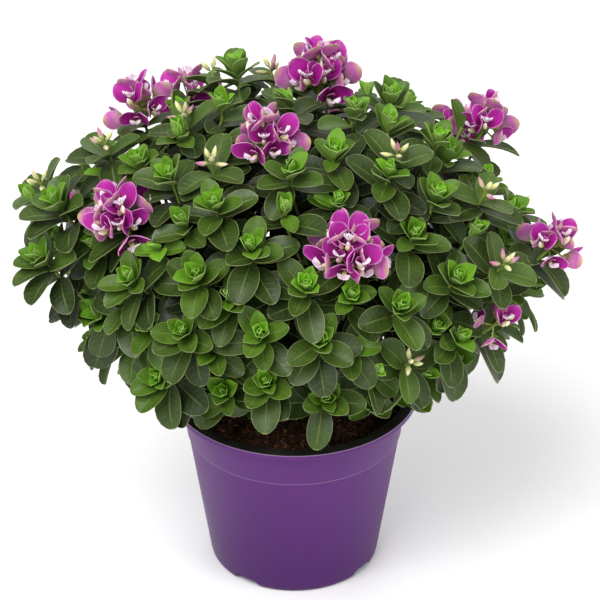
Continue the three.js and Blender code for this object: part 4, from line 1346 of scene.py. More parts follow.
full_leaf = cut_blade("leaf", LEAF_LENGTH, LEAF_WIDTH, LEAF_PLATE, 4, LEAF_ROWS, LEAF_GROOVE)
plain_leaf = cut_blade("plain_leaf", LEAF_LENGTH, LEAF_WIDTH, LEAF_PLATE, 4, PLAIN_ROWS, LEAF_GROOVE)
small_leaf = cut_blade("small_leaf", LEAF_LENGTH, LEAF_WIDTH, LEAF_PLATE, 2, SMALL_ROWS, SMALL_GROOVE)
print("faces of a leaf:", len(full_leaf.faces), len(plain_leaf.faces), len(small_leaf.faces))

# %% [markdown]
# ### Bending a copy, and gathering copies into one piece
#
# A copy's points slide along the bent spine of its own leaf. All copies that belong to one stem or flower
# head are gathered into one mesh, which carries two things for the materials: a map across and along each
# blade, and a tone for each leaf, from dark and old to bright and young, which is lowered as painted shade
# for leaves deep in the crown.


# %% Bend a copy
RIPPLE_WAVES = 9.0  # radians of a wing's wavy edge along it


def bend(cutting, blade):
    """The points of a flat cutting, laid on a blade's bent spine."""
    share = cutting.share
    reach, climb, turn = spine(blade, share)
    widen = blade["width"] / cutting.width
    half = cutting.half * widen
    lifted = cutting.points[:, 2] * blade.get("plate", 1.0) + blade["cup"] * cutting.side**2 * half
    ripple = blade.get("ripple", 0.0) * np.sin(share * RIPPLE_WAVES + blade["length"]) * cutting.side
    lifted = lifted + ripple * half
    right = np.cross(blade["out"], blade["along"])
    across = (cutting.points[:, 0] * widen)[:, None] * right
    out = (blade["length"] * reach - np.sin(turn) * lifted)[:, None] * blade["out"]
    along = (blade["length"] * climb + np.cos(turn) * lifted)[:, None] * blade["along"]
    return blade["root"] + out + along + across


class Gathering:
    """Copies that become one piece."""

    def __init__(self):
        self.points, self.faces, self.uv, self.tones, self.finishes = [], [], [], [], []
        self.count = 0

    def add(self, points, faces, uv, tone=0.5, finish=0):
        self.points.append(points)
        self.faces += [[i + self.count for i in face] for face in faces]
        self.uv.append(uv)
        self.tones.append(np.full(len(points), tone))
        self.finishes += [finish] * len(faces)
        self.count += len(points)

    def add_blade(self, cutting, blade, tone, finish):
        self.add(bend(cutting, blade), cutting.faces, cutting.uv, tone, finish)

    def make(self, name, materials, node=None, angle=50):
        """One piece at the origin, riding on the part and standing for its node."""
        mesh = bpy.data.meshes.new(name)
        mesh.from_pydata((np.concatenate(self.points) * MM).tolist(), [], self.faces)
        for material in materials:
            mesh.materials.append(material)
        mesh.polygons.foreach_set("material_index", self.finishes)
        layer = mesh.uv_layers.new(name="blade")
        layer.data.foreach_set("uv", np.concatenate(self.uv).astype(np.float32).ravel())
        tones = mesh.attributes.new("tone", "FLOAT", "POINT")
        tones.data.foreach_set("value", np.concatenate(self.tones).astype(np.float32))
        piece = bpy.data.objects.new(name, mesh)
        scene.collection.objects.link(piece)
        smooth(piece, angle)
        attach(piece, "root")
        if node:
            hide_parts(node)
        return piece


# %% [markdown]
# ## The stem, modelled once
#
# A green stem is a round rod that tapers and follows a curve. A Blender curve with a bevel would give one,
# but each stem would then be an object of its own. A cylinder with rings along it, bent in the same way as
# the leaf, can be gathered with its leaves. Its ends are closed, and its rings are a little uneven, as a
# stem is where old leaves have stood.

# %% Model the rod
ROD_SIDES = 8
ROD_RINGS = 14
STEM_KNOBS = 0.05
KNOB_TURN = 2.4  # radians of a sine from ring to ring
ASKEW = np.array([0.31, 0.17, 0.0])  # gives an upright stalk a direction across, too

bpy.ops.object.select_all(action="DESELECT")
bpy.ops.mesh.primitive_cylinder_add(vertices=ROD_SIDES, radius=1, depth=1, location=(0, 0, 0.5))
rod = bpy.context.object
bpy.ops.object.transform_apply(location=True)
bpy.ops.object.mode_set(mode="EDIT")
for cut in range(1, ROD_RINGS):
    bpy.ops.mesh.select_all(action="SELECT")
    bpy.ops.mesh.bisect(plane_co=(0, 0, cut / ROD_RINGS), plane_no=(0, 0, 1))
bpy.ops.object.mode_set(mode="OBJECT")
rod_points = np.array([vertex.co[:] for vertex in rod.data.vertices], dtype=float)
rod_faces = [list(face.vertices) for face in rod.data.polygons]
rod_uv = []
for face in rod_faces:
    rod_uv += [(math.atan2(rod_points[i][1], rod_points[i][0]) / math.tau, rod_points[i][2]) for i in face]
rod_uv = np.array(rod_uv)
bpy.data.objects.remove(rod)
print("faces of a rod:", len(rod_faces))


def bend_rod(places, frames, radii):
    """The rod laid through rings: their places, directions across and radii, one for each of its rings."""
    ring = np.clip(np.round(rod_points[:, 2] * ROD_RINGS).astype(int), 0, ROD_RINGS)
    across = frames[ring, 0] * rod_points[:, 0:1]
    out = frames[ring, 1] * rod_points[:, 1:2]
    return places[ring] + (across + out) * radii[ring][:, None]


def rod_on_branch(branch):
    """The rod laid along a stem, a little uneven."""
    rings = np.arange(ROD_RINGS + 1)
    t = rings / ROD_RINGS
    held = [branch.frame(float(v)) for v in t]
    places = np.array([h[0] for h in held])
    frames = np.array([[h[2], h[3]] for h in held])
    radii = mix(branch.foot_radius, STEM_TIP_RADIUS, t) * (1 + STEM_KNOBS * np.sin(rings * KNOB_TURN))
    return bend_rod(places, frames, radii)


def rod_between(start, end, sag, foot_radius, tip_radius):
    """A thin stalk between two points, bowed by sag."""
    share = np.arange(ROD_RINGS + 1) / ROD_RINGS
    places = start + (end - start) * share[:, None] + sag * np.sin(share * math.pi)[:, None]
    way = unit(end - start)
    across = unit(np.cross(way, UP + ASKEW))
    frames = np.tile(np.array([across, np.cross(way, across)]), (ROD_RINGS + 1, 1, 1))
    return bend_rod(places, frames, mix(foot_radius, tip_radius, share))


# %% [markdown]
# ## What a leaf looks like
#
# A leaf has a dull grey-green face, a sunk pale midrib, faint side veins and a thin pale line all round.
# Its underside is paler and greyer, and the young leaves at the heart of a rosette are a fresh
# yellow-green. A photograph of a leaf, laid over each copy, would make them all alike. Here the map over
# the blade says how far across and along it a point lies, the tone says how old its leaf is and how much
# painted shade it gets deep in the crown, and each feature is a sum of these.


# %% Read the map and the tone
FACTOR_OUTPUT = 2  # of an Attribute node


def blade_map(wire):
    """Across a blade (-1 to 1), along it (0 to 1), and 1 on its underside, and 1 on its rim."""
    across, share, _ = wire.node("ShaderNodeUVMap", {"uv_map": "blade"}).split()
    not_top = across.over(UNDERSIDE / 2)
    rim = across.over(RIM - UNDERSIDE / 2)
    across = across - not_top * UNDERSIDE - rim * (RIM - UNDERSIDE)
    return across, share, not_top - rim, rim


def age_of(wire):
    return wire.node("ShaderNodeAttribute", {"attribute_name": "tone"}, None, FACTOR_OUTPUT)


# %% Finish the leaves and stems
# Colours by tone. The bright end is the fresh green of young leaves and the middle the grey-green of older
# ones; the near-black dark end is painted shade for the leaves low and deep in the crown.
LEAF_AGES_AND_SHADE = [
    (0.0, paint(13, 20, 7)),
    (0.22, paint(40, 56, 18)),
    (0.45, paint(60, 81, 26)),
    (0.7, paint(78, 112, 28)),
    (1.0, paint(124, 184, 40)),
]
UNDER_AGES = [(0.0, paint(76, 92, 54)), (0.5, paint(98, 118, 64)), (1.0, paint(142, 180, 82))]
SIDE_VEINS = 7.0  # pairs of side veins on a blade
VEIN_SLANT = 1.1
RIB_HALF = (0.01, 0.085)  # from full to faded, as shares of half the blade's width
VEIN_HALF = (0.0, 0.12)
MARGIN_FROM = (0.935, 0.985)
RIB_SHARE, VEIN_SHARE, UNDER_VEIN_SHARE = 0.36, 0.1, 0.3

leaf_finish, wire = start_material("leaf", Specular_IOR_Level=0.34)
across, share, underside, rim = blade_map(wire)
edge = abs(across)
age = age_of(wire)
mottle = grain(wire, 130, 3.0, 0.6)
patches = grain(wire, 38, 2.0, 0.5)
rib = edge.ramp(*RIB_HALF, 1.0, 0.0) * share.ramp(0.7, 1.0, 1.0, 0.0)
slope = share * SIDE_VEINS - edge * VEIN_SLANT
vein = abs(slope.fraction() - 0.5).ramp(*VEIN_HALF, 1.0, 0.0) * edge.ramp(0.55, 0.9, 1.0, 0.0)
margin = edge.ramp(*MARGIN_FROM).larger(share.ramp(0.97, 0.99)).larger(rim)
face = (patches.spread(0.8, 1.18) * mottle.spread(0.9, 1.1)).shade(age.stain(LEAF_AGES_AND_SHADE))
face = (vein * VEIN_SHARE).blend(face, paint(128, 150, 84))
under = age.stain(UNDER_AGES)
under = (vein * UNDER_VEIN_SHARE).blend(under, paint(84, 104, 60))
face = underside.blend(face, under)
face = (rib * RIB_SHARE).blend(face, paint(140, 158, 78))
margin = margin * age.ramp(0.0, 0.2, 0.1, 0.54) * age.ramp(0.6, 1.0, 1.0, 0.4)
face = margin.blend(face, paint(150, 162, 104))
gloss = mottle.spread(0.36, 0.5) + underside * 0.16
relief = mottle * 0.25 - rib * 0.9 - vein * 0.35 + patches * 0.5
finish_material(leaf_finish, face, gloss, relief, 0.55, 0.0005)

STEM_AGES = [(0.0, paint(74, 66, 36)), (0.35, paint(88, 96, 44)), (1.0, paint(128, 152, 66))]
stem_finish, wire = start_material("stem", Specular_IOR_Level=0.3)
_, share, _, _ = blade_map(wire)
streaks = grain(wire, 160, 3.0, 0.6, (1.0, 1.0, 0.12))
bark = streaks.spread(0.78, 1.2).shade(share.stain(STEM_AGES))
finish_material(stem_finish, bark, streaks.spread(0.5, 0.66), streaks, 0.4, 0.0004)
print("finishes:", leaf_finish.name, stem_finish.name)

# %% [markdown]
# ### Crumbs and threads on the compost
#
# Crumbs of peat lie loose on the surface, with reddish threads of root and bark among them. A crumb is a
# ball of twenty faces, squashed and knocked out of shape in three ways, and each copy gets a size, a turn
# and a colour of its own. A thread is the rod, bowed between two points of the surface. They are one piece,
# since nobody would ever move a single crumb.

# %% Model three crumbs
CRUMB_SHAPES = 3
CRUMB_DENT = 0.24
CRUMB_FORM = (1.2, 0.85, 0.62)
FIRST_CRUMB_SEED = 3

crumb_points, crumb_faces = [], []
for shape in range(CRUMB_SHAPES):
    bpy.ops.object.select_all(action="DESELECT")
    bpy.ops.mesh.primitive_ico_sphere_add(subdivisions=1, radius=1)
    crumb = bpy.context.object
    bpy.ops.object.mode_set(mode="EDIT")
    bpy.ops.mesh.select_all(action="SELECT")
    bpy.ops.transform.vertex_random(offset=CRUMB_DENT, seed=shape + FIRST_CRUMB_SEED)
    bpy.ops.transform.resize(value=CRUMB_FORM, center_override=(0, 0, 0))
    bpy.ops.object.mode_set(mode="OBJECT")
    crumb_points.append(np.array([vertex.co[:] for vertex in crumb.data.vertices], dtype=float))
    crumb_faces.append([list(face.vertices) for face in crumb.data.polygons])
    bpy.data.objects.remove(crumb)
print("faces of a crumb:", len(crumb_faces[0]))

# %% Strew them
CRUMBS = 1500
CRUMB_SIZE = (0.6, 2.3)
CRUMB_TILT = 0.6
CRUMB_FROM_WALL = 3
CRUMB_RISE = 0.2
THREADS = 130
THREAD_LENGTH = (5, 17)
THREAD_RADIUS = (0.2, 0.5)
THREAD_TIP = 0.18
THREAD_TONE = (0.75, 1.0)
THREAD_FROM_WALL = (12, 2)  # its start and its end
THREAD_RISE = 0.4
THREAD_BOW = 0.2
SEED_OF_CRUMBS = 4711

crumb_draws = draws_from(SEED_OF_CRUMBS)


def spot_on_compost(keep_off):
    """A place anywhere on the compost, keeping off the wall."""
    reach = (compost_edge - keep_off) * math.sqrt(next(crumb_draws))
    turn = math.tau * next(crumb_draws)
    x, y = reach * math.sin(turn), reach * math.cos(turn)
    return np.array([x, y, compost_height(x, y)])


def turned(first, second, angle):
    """Two coordinates after a turn in their plane."""
    sine, cosine = math.sin(angle), math.cos(angle)
    return first * cosine - second * sine, first * sine + second * cosine


crumbs = Gathering()
for k in range(CRUMBS):
    size = mix(*CRUMB_SIZE, next(crumb_draws) ** 3)
    turn = math.tau * next(crumb_draws)
    tilt = mix(-CRUMB_TILT, CRUMB_TILT, next(crumb_draws))
    points = crumb_points[k % CRUMB_SHAPES] * size
    x, y, z = points.T
    y, z = turned(y, z, tilt)
    x, y = turned(x, y, turn)
    place = spot_on_compost(CRUMB_FROM_WALL) + UP * CRUMB_RISE * size
    faces = crumb_faces[k % CRUMB_SHAPES]
    crumbs.add(np.stack([x, y, z], axis=1) + place, faces, np.zeros((3 * len(faces), 2)), next(crumb_draws))
for k in range(THREADS):
    start = spot_on_compost(THREAD_FROM_WALL[0])
    turn = math.tau * next(crumb_draws)
    length = mix(*THREAD_LENGTH, next(crumb_draws) ** 2)
    x, y = start[0] + length * math.sin(turn), start[1] + length * math.cos(turn)
    if math.hypot(x, y) < compost_edge - THREAD_FROM_WALL[1]:
        end = np.array([x, y, compost_height(x, y) + THREAD_RISE])
        bow = length * mix(-THREAD_BOW, THREAD_BOW, next(crumb_draws))
        sag = np.array([math.cos(turn), -math.sin(turn), 0.5]) * bow
        radius = mix(*THREAD_RADIUS, next(crumb_draws))
        thread = rod_between(start + UP * THREAD_RISE, end, sag, radius, THREAD_TIP)
        crumbs.add(thread, rod_faces, rod_uv, mix(*THREAD_TONE, next(crumb_draws)))

CRUMB_STOPS = [
    (0.0, paint(30, 22, 17)),
    (0.5, paint(70, 50, 37)),
    (0.8, paint(112, 74, 52)),
    (1.0, paint(158, 108, 78)),
]
crumb_finish, wire = start_material("peat_crumb", Specular_IOR_Level=0.2)
cloud = grain(wire, 1200, 3.0, 0.6)
brown = cloud.spread(0.7, 1.25).shade(age_of(wire).stain(CRUMB_STOPS))
finish_material(crumb_finish, brown, cloud.spread(0.85, 1.0), cloud, 0.5, 0.0004)
crumbs.make("compost_crumbs", [crumb_finish], None, 30)
print("crumbs and threads:", CRUMBS, THREADS)

# %% [markdown]
# ## Filling the crown
#
# The real crown has about twice as many shoots as the solids stand for, and every rosette is a bud of small
# bright leaves inside larger ones, with darker leaves below it on the stem. The extra shoots branch off the
# main ones, at places seen in the picture and all round in finer golden-angle spirals. One spiral lies near
# the crown's surface, and one deep inside holds shaded shoots without a bright heart, which keep the bare
# stems out of sight. A grid of small cubes remembers which shoot fills each, so that thousands of leaves
# can be tried quickly.

# %% A quicker account of the room
CUBE = 1.5
SPACE_LOW = np.array([-240.0, -230.0, 90.0])
SPACE_SIZE = (320, 310, 230)
NEIGHBOURS = np.array([(0, 0, 0), (1, 0, 0), (-1, 0, 0), (0, 1, 0), (0, -1, 0), (0, 0, 1), (0, 0, -1)])

shoot_space = np.zeros(SPACE_SIZE, dtype=np.int16)
leaf_space = np.zeros(SPACE_SIZE, dtype=np.int16)


def cubes_of(points):
    cells = np.floor((points - SPACE_LOW) / CUBE).astype(int)
    return np.clip(cells, 1, np.array(SPACE_SIZE) - 2)


def hold(space, points, owner):
    cells = (cubes_of(points)[:, None, :] + NEIGHBOURS[None]).reshape(-1, 3)
    space[cells[:, 0], cells[:, 1], cells[:, 2]] = owner


def is_open(space, points, owner):
    cells = cubes_of(points)
    found = space[cells[:, 0], cells[:, 1], cells[:, 2]]
    return bool(np.all((found == 0) | (found == owner)))


BLOOM = 30000  # the owner's number of every flower and bud
leaf_number = 0
for owner, shoot in enumerate(shoots):
    hold(shoot_space, np.array(stem_samples(shoot)), owner + 1)
    for leaf in shoot["leaves"]:
        samples, is_far = blade_samples(leaf)
        leaf_number += 1
        hold(shoot_space, samples, owner + 1)
        hold(leaf_space, samples[is_far], leaf_number)
    if shoot["flower_list"] or shoot["bud_list"]:
        hold(shoot_space, np.array(petal_samples(shoot)), BLOOM)
        hold(leaf_space, np.array(petal_samples(shoot)), BLOOM)
print("cubes held:", int((shoot_space > 0).sum()))

# %% Set out the finer shoots
MORE_SEEN = [
    {"u": 110, "v": 175},
    {"u": 186, "v": 228},
    {"u": 388, "v": 132},
    {"u": 412, "v": 196},
    {"u": 482, "v": 262},
    {"u": 431, "v": 288},
    {"u": 36, "v": 203, "out": 1.2},
    {"u": 352, "v": 118},
    {"u": 434, "v": 148},
    {"u": 374, "v": 372},
    {"u": 214, "v": 352},
    {"u": 160, "v": 250},
    {"u": 180, "v": 140},
    {"u": 222, "v": 113},
    {"u": 505, "v": 215},
    {"u": 520, "v": 290},
    {"u": 152, "v": 330},
    {"u": 292, "v": 415},
    {"u": 420, "v": 372},
    {"u": 205, "v": 405},
]
FINE_TOP = 358
FINE_FOOT = 150
LAYERS = [
    {"kind": "rosette", "steps": 220, "start": 64, "apart": 29, "out": (0.88, 0.97)},
    {"kind": "shaded", "steps": 190, "start": 11, "apart": 25, "out": (0.52, 0.78)},
]
SEEN_APART = 17
SEEN_OUT = 0.97
FINE_FOOT_RADIUS = 1.1
FINE_LEAVE = (0.35, 0.5, 0.62, 0.74)
PARENTS_TRIED = 4
BEND_COST = 1.6
SHORTEST = 22
SEED_OF_FILL = 4177

fine_shoots = []
fill = draws_from(SEED_OF_FILL)


def graft(place, apart, kind="rosette"):
    """A finer shoot that ends at a place, branching off the main shoot that can carry it best."""
    if any(math.dist(place, shoot["tip"]) < apart for shoot in shoots + fine_shoots):
        return
    growth = growth_at(place)
    best = None
    for parent in sorted(shoots, key=lambda shoot: math.dist(shoot["tip"], place))[:PARENTS_TRIED]:
        for t in FINE_LEAVE:
            start = parent["branch"].spot(t)
            span = math.dist(start, place)
            bendiness = 1 - parent["branch"].along(t).dot(unit(place - start))
            cost = span * (1 + BEND_COST * bendiness)
            if span > SHORTEST and (best is None or cost < best[0]):
                best = (cost, parent, t, start)
    _, parent, t, start = best
    shoot = {"kind": kind, "growth": growth, "tip": place, "stem": parent["stem"], "leaves": []}
    leaving = unit(unit(place - start) + parent["branch"].along(t))
    shoot["branch"] = Branch(start, leaving, shoot, FINE_FOOT_RADIUS)
    shoot["phase"] = next(fill) * math.tau
    fine_shoots.append(shoot)


for entry in MORE_SEEN:
    graft(place_of(entry, SEEN_OUT), SEEN_APART)
for layer in LAYERS:
    for step in range(layer["steps"]):
        bearing = (step * GOLDEN_DEGREES + layer["start"]) % 360 - 180
        height = mix(FINE_TOP, FINE_FOOT, (step + 0.5) / layer["steps"])
        out = mix(*layer["out"], next(fill))
        graft(stands_at(bearing, height, out), layer["apart"], layer["kind"])
print("finer shoots:", len(fine_shoots))

# %% [markdown]
# ### Whorl upon whorl
#
# From the heart of a rosette outwards, the leaves grow longer, lie flatter and turn from fresh green to a
# dull grey-green. Below the rosette they stand singly round the stem. Each is tried in a few positions and
# left out where nothing fits, and that gives the crown its own irregular look.

# %% Plan the whorls
HEART = [
    {"below": -5.5, "length": 7.5, "lift": 84, "curl": -24, "tone": 1.0, "slim": 0.66, "cup": 0.6},
    {"below": -4.0, "length": 10.5, "lift": 77, "curl": -14, "tone": 1.0, "slim": 0.66, "cup": 0.55},
    {"below": -2.2, "length": 14.0, "lift": 67, "curl": -4, "tone": 0.93, "slim": 0.64, "cup": 0.5},
    {"below": -0.4, "length": 18.0, "lift": 57, "curl": 6, "tone": 0.8, "slim": 0.62, "cup": 0.42},
]
FIRST_WHORL = {"below": 1.5, "length": 21, "lift": 50, "curl": 16, "tone": 0.66, "slim": 0.6, "cup": 0.4}
LOWER = [
    {"below": 6.0, "length": 27, "lift": 36, "curl": 26, "tone": 0.48, "slim": 0.6, "cup": 0.32},
    {"below": 10.5, "length": 31, "lift": 20, "curl": 32, "tone": 0.34, "slim": 0.6, "cup": 0.26},
    {"below": 17.0, "length": 33, "lift": 2, "curl": 36, "tone": 0.24, "slim": 0.6, "cup": 0.22},
]
STEM_LEAF = {"length": 30, "lift": 6, "curl": 30, "tone": 0.12, "slim": 0.58, "cup": 0.2}
HEART_TURN = math.radians(50)
STEM_LEAF_STEP = 6.5
STEM_LEAF_FIRST = 24
STEM_LEAF_LAST = 92
STEM_LEAF_FOOT = 0.2
NUDGES = [  # lift and turn in degrees, and size
    (0, 0, 1),
    (14, 12, 1),
    (-14, -12, 1),
    (26, 20, 0.92),
    (-24, 24, 0.92),
    (10, -26, 0.82),
    (30, 0, 0.74),
]
FINE_SPREAD = {"length": (0.86, 1.12), "width": (0.9, 1.12), "tilt": (-11, 11), "tone": (-0.08, 0.08)}
ROOT_DEPTH = 0.7  # where a leaf's root stands between its stem's middle and skin
SPOTS_ON_STEM = 40
RIM_SHOWS = {"left": 188, "right": 402, "top": 421}  # where the picture shows the compost and the pot's rim
HEAD_SHOWS = 30  # how far round a flower head's middle nothing stands before it, in picture points
SOLIDS_WHORL = 1  # a main shoot has this one of the lower whorls from its solid
print("leaves of a full rosette:", SIDES * (len(HEART) + 1 + len(LOWER)))


# %% What a leaf mustn't hide
def seen_from_eye(points):
    """Where points fall in the picture, and how far behind its plane they lie."""
    offset = points - LOOK_AT
    depth = offset @ forward
    scale = EYE_DISTANCE / (EYE_DISTANCE + depth) / MM_PER_PIXEL
    return PICTURE_SIDE / 2 + offset[:, 0] * scale, PICTURE_SIDE / 2 - offset @ rise * scale, depth


heads = [shoot for shoot in shoots if shoot["kind"] == "head"]
blooms = [shoot for shoot in heads if (shoot["tip"] - CROWN_MIDDLE) @ forward < 0]
bloom_middles = np.array([shoot["tip"] + shoot["growth"] * RAISED * shoot["size"] for shoot in blooms])
bloom_u, bloom_v, bloom_depth = seen_from_eye(bloom_middles)
bloom_reach = np.array([HEAD_SHOWS * shoot["size"] for shoot in blooms])


def hides_view(points):
    """Whether a point falls where the picture shows the rim in front, or before a flower head."""
    u, v, depth = seen_from_eye(points)
    if np.any((u > RIM_SHOWS["left"]) & (u < RIM_SHOWS["right"]) & (v > RIM_SHOWS["top"])):
        return True
    apart = np.hypot(u[:, None] - bloom_u, v[:, None] - bloom_v)
    return bool(np.any((apart < bloom_reach) & (depth[:, None] < bloom_depth)))


# %% Try a leaf
def try_leaf(shoot, owner, plan, angle, cutting, is_nested=False):
    """A leaf of a plan at an angle round the stem, kept in the first position that is open."""
    global leaf_number
    branch = shoot["branch"]
    t = 1 - plan["below"] / branch.length
    at, along, across, out = branch.frame(min(t, 1.0))
    if t > 1:
        at = at + shoot["growth"] * -plan["below"]
    length = plan["length"] * mix(*FINE_SPREAD["length"], next(fill))
    tilt = mix(*FINE_SPREAD["tilt"], next(fill))
    curl = mix(*FINE_SPREAD["tilt"], next(fill))
    slim = mix(*FINE_SPREAD["width"], next(fill))
    tone = mix(*FINE_SPREAD["tone"], next(fill))
    for lift, turn, size in NUDGES:
        spin = angle + math.radians(turn)
        radial = across * math.cos(spin) + out * math.sin(spin)
        leaf = {
            "root": at + radial * STEM_TIP_RADIUS * ROOT_DEPTH,
            "out": radial,
            "along": along,
            "across": np.cross(along, radial),
            "length": length * size,
            "width": length * size * plan["slim"] * slim,
            "lift": math.radians(plan["lift"] + tilt + lift),
            "curl": math.radians(plan["curl"] + curl),
            "cup": plan["cup"],
            "tone": plan["tone"] + tone,
            "cutting": cutting,
        }
        samples, is_far = blade_samples(leaf)
        if not are_above_pot(samples) or hides_view(samples):
            continue
        is_clear = is_nested or is_open(leaf_space, samples[is_far], leaf_number + 1)
        if is_clear and is_open(shoot_space, samples, owner):
            leaf_number += 1
            hold(shoot_space, samples, owner)
            hold(leaf_space, samples[is_far], leaf_number)
            shoot["leaves"].append(leaf)
            return


# %% Grow the rest of the leaves
def try_whorl(shoot, owner, plan, turn, cutting, is_nested=False):
    for side in range(SIDES):
        try_leaf(shoot, owner, plan, shoot["phase"] + side * math.tau / SIDES + turn, cutting, is_nested)


everything = shoots + fine_shoots
for owner, shoot in enumerate(everything, start=1):
    if owner > len(shoots):
        hold(shoot_space, shoot["branch"].spot(np.arange(SPOTS_ON_STEM + 1) / SPOTS_ON_STEM), owner)
for owner, shoot in enumerate(everything, start=1):
    is_fine = owner > len(shoots)
    if is_fine or shoot["kind"] == "sprig":
        try_whorl(shoot, owner, FIRST_WHORL, math.pi / SIDES, plain_leaf)
    cutting = plain_leaf if shoot["kind"] == "shaded" else full_leaf
    for k, plan in enumerate(LOWER):
        if is_fine or k != SOLIDS_WHORL:
            try_whorl(shoot, owner, plan, math.pi / SIDES + (k + 1) * math.pi / 6, cutting)
    if shoot["kind"] in ("rosette", "sprig"):
        for k, plan in enumerate(HEART):
            try_whorl(shoot, owner, plan, k * HEART_TURN, small_leaf, True)
for owner, shoot in enumerate(everything, start=1):
    below = STEM_LEAF_FIRST
    turn = shoot["phase"]
    while below < STEM_LEAF_LAST and 1 - below / shoot["branch"].length > STEM_LEAF_FOOT:
        try_leaf(shoot, owner, {**STEM_LEAF, "below": below}, turn, plain_leaf)
        below += STEM_LEAF_STEP
        turn += GOLDEN_ANGLE
print("leaves in all:", sum(len(shoot["leaves"]) for shoot in everything))

# %% Make the leafy stems
LEAF_FINISH, STEM_FINISH = 0, 1
SHADE_FROM_SHARE = 0.92  # leaves nearer the crown's middle than this share of its radii get painted shade: a lower tone, so a darker colour
PAINTED_SHADE_STRENGTH = 1.2

for stem in stems:
    leafy = Gathering()
    for shoot in everything:
        if shoot["stem"] is not stem:
            continue
        leafy.add(rod_on_branch(shoot["branch"]), rod_faces, rod_uv, 0.5, STEM_FINISH)
        for leaf in shoot["leaves"]:
            cutting = leaf.get("cutting", full_leaf)
            shape = bend(cutting, leaf)
            # Painted shade: the nearer a leaf lies to the crown's middle, the lower its tone and the darker
            # its colour.
            share = np.linalg.norm((shape.mean(axis=0) - CROWN_MIDDLE) / CROWN_RADII)
            painted_shade = PAINTED_SHADE_STRENGTH * min(max((SHADE_FROM_SHARE - share) / SHADE_FROM_SHARE, 0), 1)
            tone = max(leaf["tone"] - painted_shade, 0.0)
            leafy.add(shape, cutting.faces, cutting.uv, tone, LEAF_FINISH)
    leafy.make(stem["node"] + "_fine", [leaf_finish, stem_finish], stem["node"])
print("leafy stems:", len(stems))

# %% [markdown]
# ## The flowers
#
# A milkwort flower isn't a pea flower, though it looks like one. Two of its sepals have grown into broad
# magenta wings, pale and veined with green outside. Between them lies a boat-shaped keel, cream to
# yellow-green, that ends in a white fringed brush. Two small petals stand above it and three small green
# sepals behind it. Each part is modelled once: the wings, petals and sepals as the leaf was, the brush as a
# pleated fan, and the keel from a ball that is drawn out and bent.

# %% Model a wing, a small petal and a sepal
WING_WIDTH = 15.6
WING_PLATE = 0.45
WING_ROWS = [
    (0, 0.14),
    (0.09, 0.34),
    (0.22, 0.7),
    (0.38, 0.93),
    (0.56, 1.0),
    (0.73, 0.92),
    (0.87, 0.68),
    (0.96, 0.38),
    (1, 0.12),
]
PETAL_LENGTH = 8.5
PETAL_WIDTH = 4.2
PETAL_ROWS = [(0, 0.3), (0.3, 0.66), (0.6, 1.0), (0.86, 0.8), (1, 0.3)]
SEPAL_LENGTH = 5.2
SEPAL_WIDTH = 3.0
SEPAL_ROWS = [(0, 0.6), (0.35, 1.0), (0.7, 0.8), (1, 0.12)]

wing_cutting = cut_blade("wing", WING_LENGTH, WING_WIDTH, WING_PLATE, 6, WING_ROWS)
petal_cutting = cut_blade("petal", PETAL_LENGTH, PETAL_WIDTH, WING_PLATE, 2, PETAL_ROWS)
sepal_cutting = cut_blade("sepal", SEPAL_LENGTH, SEPAL_WIDTH, WING_PLATE, 2, SEPAL_ROWS)
print("faces of a wing:", len(wing_cutting.faces))

# %% Model the fringed brush
BRUSH_LENGTH = 6.4
BRUSH_WIDTH = 6.6
BRUSH_FOLDS = 10
BRUSH_PLEAT = 0.6
BRUSH_ROWS = [(0, 0.16), (0.4, 0.5), (0.75, 0.85), (1, 1.0)]
FRINGE_DEPTH = 0.2  # how far every second point of the fan's edge is drawn in, as a share of its length
FAN_ROUND = 0.28

brush_cutting = cut_blade("brush", BRUSH_LENGTH, BRUSH_WIDTH, WING_PLATE, BRUSH_FOLDS, BRUSH_ROWS)
fold = np.round((brush_cutting.side + 1) / 2 * BRUSH_FOLDS).astype(int)
pleat = np.where(fold % 2 == 0, 1, -1) * BRUSH_PLEAT * brush_cutting.share
brush_cutting.points[:, 2] += pleat
is_edge = brush_cutting.share > 0.99
drawn = np.where(fold % 2 == 0, 0.0, FRINGE_DEPTH) + FAN_ROUND * brush_cutting.side**2
brush_cutting.points[is_edge, 1] -= (drawn * BRUSH_LENGTH)[is_edge]
brush_cutting.share = np.clip(brush_cutting.points[:, 1] / BRUSH_LENGTH, 0, 1)
print("faces of a brush:", len(brush_cutting.faces))

# %% Model the keel and the bud
KEEL_LENGTH = 11
KEEL_WIDTH = 4.0
KEEL_DEPTH = 5.0
BUD_WIDTH = 3.4
LEVEL_REACH = 0.01


def model_drop(name, segments, rings, width, length, depth, pointed):
    """A ball drawn out along Y from the origin, narrowed towards its end."""
    bpy.ops.object.select_all(action="DESELECT")
    bpy.ops.mesh.primitive_uv_sphere_add(segments=segments, ring_count=rings, radius=0.5)
    drop = bpy.context.object
    drop.name = name
    bpy.ops.object.mode_set(mode="EDIT")
    bpy.ops.mesh.select_all(action="SELECT")
    bpy.ops.transform.rotate(value=math.pi / 2, orient_axis="X", center_override=(0, 0, 0))
    bpy.ops.transform.translate(value=(0, 0.5, 0))
    for level in sorted({round(vertex.co.y, 3) for vertex in bmesh.from_edit_mesh(drop.data).verts}):
        pick(lambda co: abs(co.y - level) < LEVEL_REACH)
        share = 1 - pointed * max(level - 0.5, 0) * 2
        bpy.ops.transform.resize(value=(share, 1, share), center_override=(0, level, 0))
    bpy.ops.mesh.select_all(action="SELECT")
    bpy.ops.transform.resize(value=(width * MM, length * MM, depth * MM), center_override=(0, 0, 0))
    bpy.ops.mesh.normals_make_consistent(inside=False)
    bpy.ops.object.mode_set(mode="OBJECT")
    return drop


